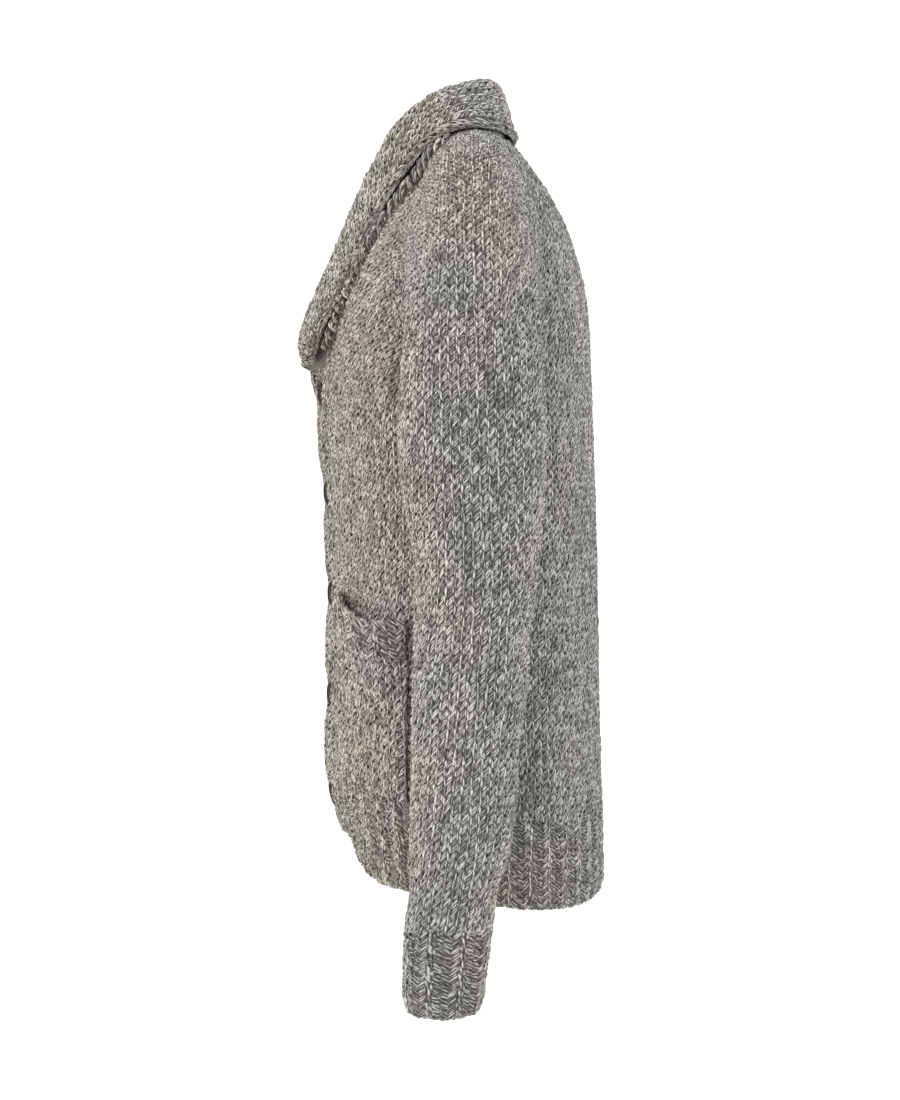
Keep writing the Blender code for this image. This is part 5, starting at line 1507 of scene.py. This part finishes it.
# ---- the chain of stitches that is picked up from the fronts along the collar's edge
panel_tree = tree_of(plain.values())
rim = collar_mid[:, -1]
ahead = np.where((rim[:, 1] < CHAIN_AHEAD) & (rim[:, 2] > CHAIN_FROM))[0]
for tag, sign in (("left", 1.0), ("right", -1.0)):
    rows = ahead[rim[ahead, 0] * sign > CHAIN_ASIDE]
    grid, n = beside(rim[rows], collar_mid[rows, -4], panel_tree)
    lines = even_lines(grid, (0.0, 1.0), CHAIN_COURSE)
    strands.append(yarn(f"neck_chain_{tag}", grid, n, lines, "knit", 150, "B"))
    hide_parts("collar")

# ---- pockets
for seed, (tag, (points, n)) in enumerate(pocket_forms.items()):
    points = creased(points, n)
    bag, bag_n = points[: POCKET_ROWS + 1], n[: POCKET_ROWS + 1]
    sides = {"bottom": POCKET_FOOT, "top": SEAM / 2}
    cloth, round_p, round_n = pocket_part(f"pocket_{tag}", bag, bag_n, sides)
    tall = [walk(round_p[:, c])[-1] for c in range(round_p.shape[1])]
    lines = stitch_lines(round_p, int(np.argmax(tall)), (0, 0))
    strands = yarn(f"pocket_{tag}_yarn", round_p, round_n, lines, "knit", 130 + seed)

    name = f"pocket_band_{tag}"
    band, band_n = points[POCKET_ROWS:], n[POCKET_ROWS:]
    sides = {"bottom": SEAM / 2, "top": FREE_RIM}
    cloth, round_p, round_n = pocket_part(name, band, band_n, sides)
    round_p, round_n = wrapped(round_p, round_n, "top", POCKET_RIM_TURN)
    round_p, round_n = extended(round_p, round_n, "bottom", TUCK_POCKET)
    shares, kinds = rib_wales(POCKET_RIBS)
    lines = even_lines(round_p, shares, COURSE)
    strands = yarn(
        name + "_yarn", round_p, round_n, lines, "rib", 140 + seed, kinds, raised=0.0008
    )
    rope = wrapped(band[-4:], band_n[-4:], "top", ROPE_TURN)
    rim_p, rim_n = (g.swapaxes(0, 1)[::2] for g in rope)
    rim_lines = even_lines(rim_p, (0.0, 1.0), RIM_COURSE)
    rim = yarn(f"pocket_rim_{tag}", rim_p, rim_n, rim_lines, "rib", 160 + seed, "B")
    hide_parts(name)

# ---- buttons
button_look = look_button()
for k in range(len(BUTTON_Z)):
    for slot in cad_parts[f"button_{k + 1}"].material_slots:
        slot.material = button_look


# ---------------------------------------------------------------- floor, light and camera
def lamp(name, place, size, power, colour):
    light = bpy.data.lights.new(name, "AREA")
    light.shape = "RECTANGLE"
    light.size, light.size_y = size
    light.energy = power
    light.color = colour
    holder = placed(name, light)
    holder.location = place
    aim = Vector((0.1, 0.0, -0.3)) - Vector(place)
    holder.rotation_euler = aim.to_track_quat("-Z", "Y").to_euler()


def pale_floor():
    reach = np.linspace(-1.0, 1.0, 41)
    reach = 300.0 * reach**3 + 6.0 * reach
    x, y = np.meshgrid(reach, reach)
    points = np.stack([x, y, np.full_like(x, -1.02)], -1).reshape(-1, 3)
    mesh = bpy.data.meshes.new("floor")
    mesh.from_pydata(points.tolist(), [], quads_of(np.arange(x.size).reshape(x.shape)).tolist())
    made, tree, shader = nodes_of("pale_floor", {"Roughness": 0.9})
    colour = ramp(tree, noise(tree, own_place(tree), 3.0), (0.3, 0.96), (0.7, 0.98))
    tree.links.new(colour, shader.inputs["Base Color"])
    mesh.materials.append(made)
    placed("floor", mesh)


SKY_ALL = 1.23  # the light from all around, what the side adds and what the back takes away
SKY_SIDE = 0.45
SKY_BACK = 0.35

pale_floor()
world = bpy.data.worlds.new("studio")
bpy.context.scene.world = world
world.use_nodes = True
tree = world.node_tree
sky = tree.nodes["Background"]
sky.inputs["Color"].default_value = (1.0, 1.004, 1.01, 1.0)
parts = xyz(tree, node(tree, "ShaderNodeTexCoord").outputs["Generated"])
ahead, behind = (maths(tree, "MAXIMUM", parts[axis], -0.1) for axis in ("X", "Y"))
strength = total(tree, SKY_ALL, (ahead, SKY_SIDE), (behind, -SKY_BACK))
tree.links.new(strength, sky.inputs["Strength"])
lamp("key", (1.4, -3.0, 1.3), (1.2, 1.2), 4.0, (1.0, 0.93, 0.82))
lamp("fill", (1.3, 3.1, 1.0), (1.0, 1.4), 2.0, (0.96, 0.98, 1.0))
bpy.context.scene.view_settings.view_transform = "Standard"

eye = bpy.data.cameras.new("eye")
eye.lens = 93.6
eye.sensor_width = 36.0
camera = placed("eye", eye)
camera.location = (2.6, 0.0, -0.36)
camera.rotation_euler = (math.pi / 2, 0.0, math.pi / 2)
bpy.context.scene.camera = camera
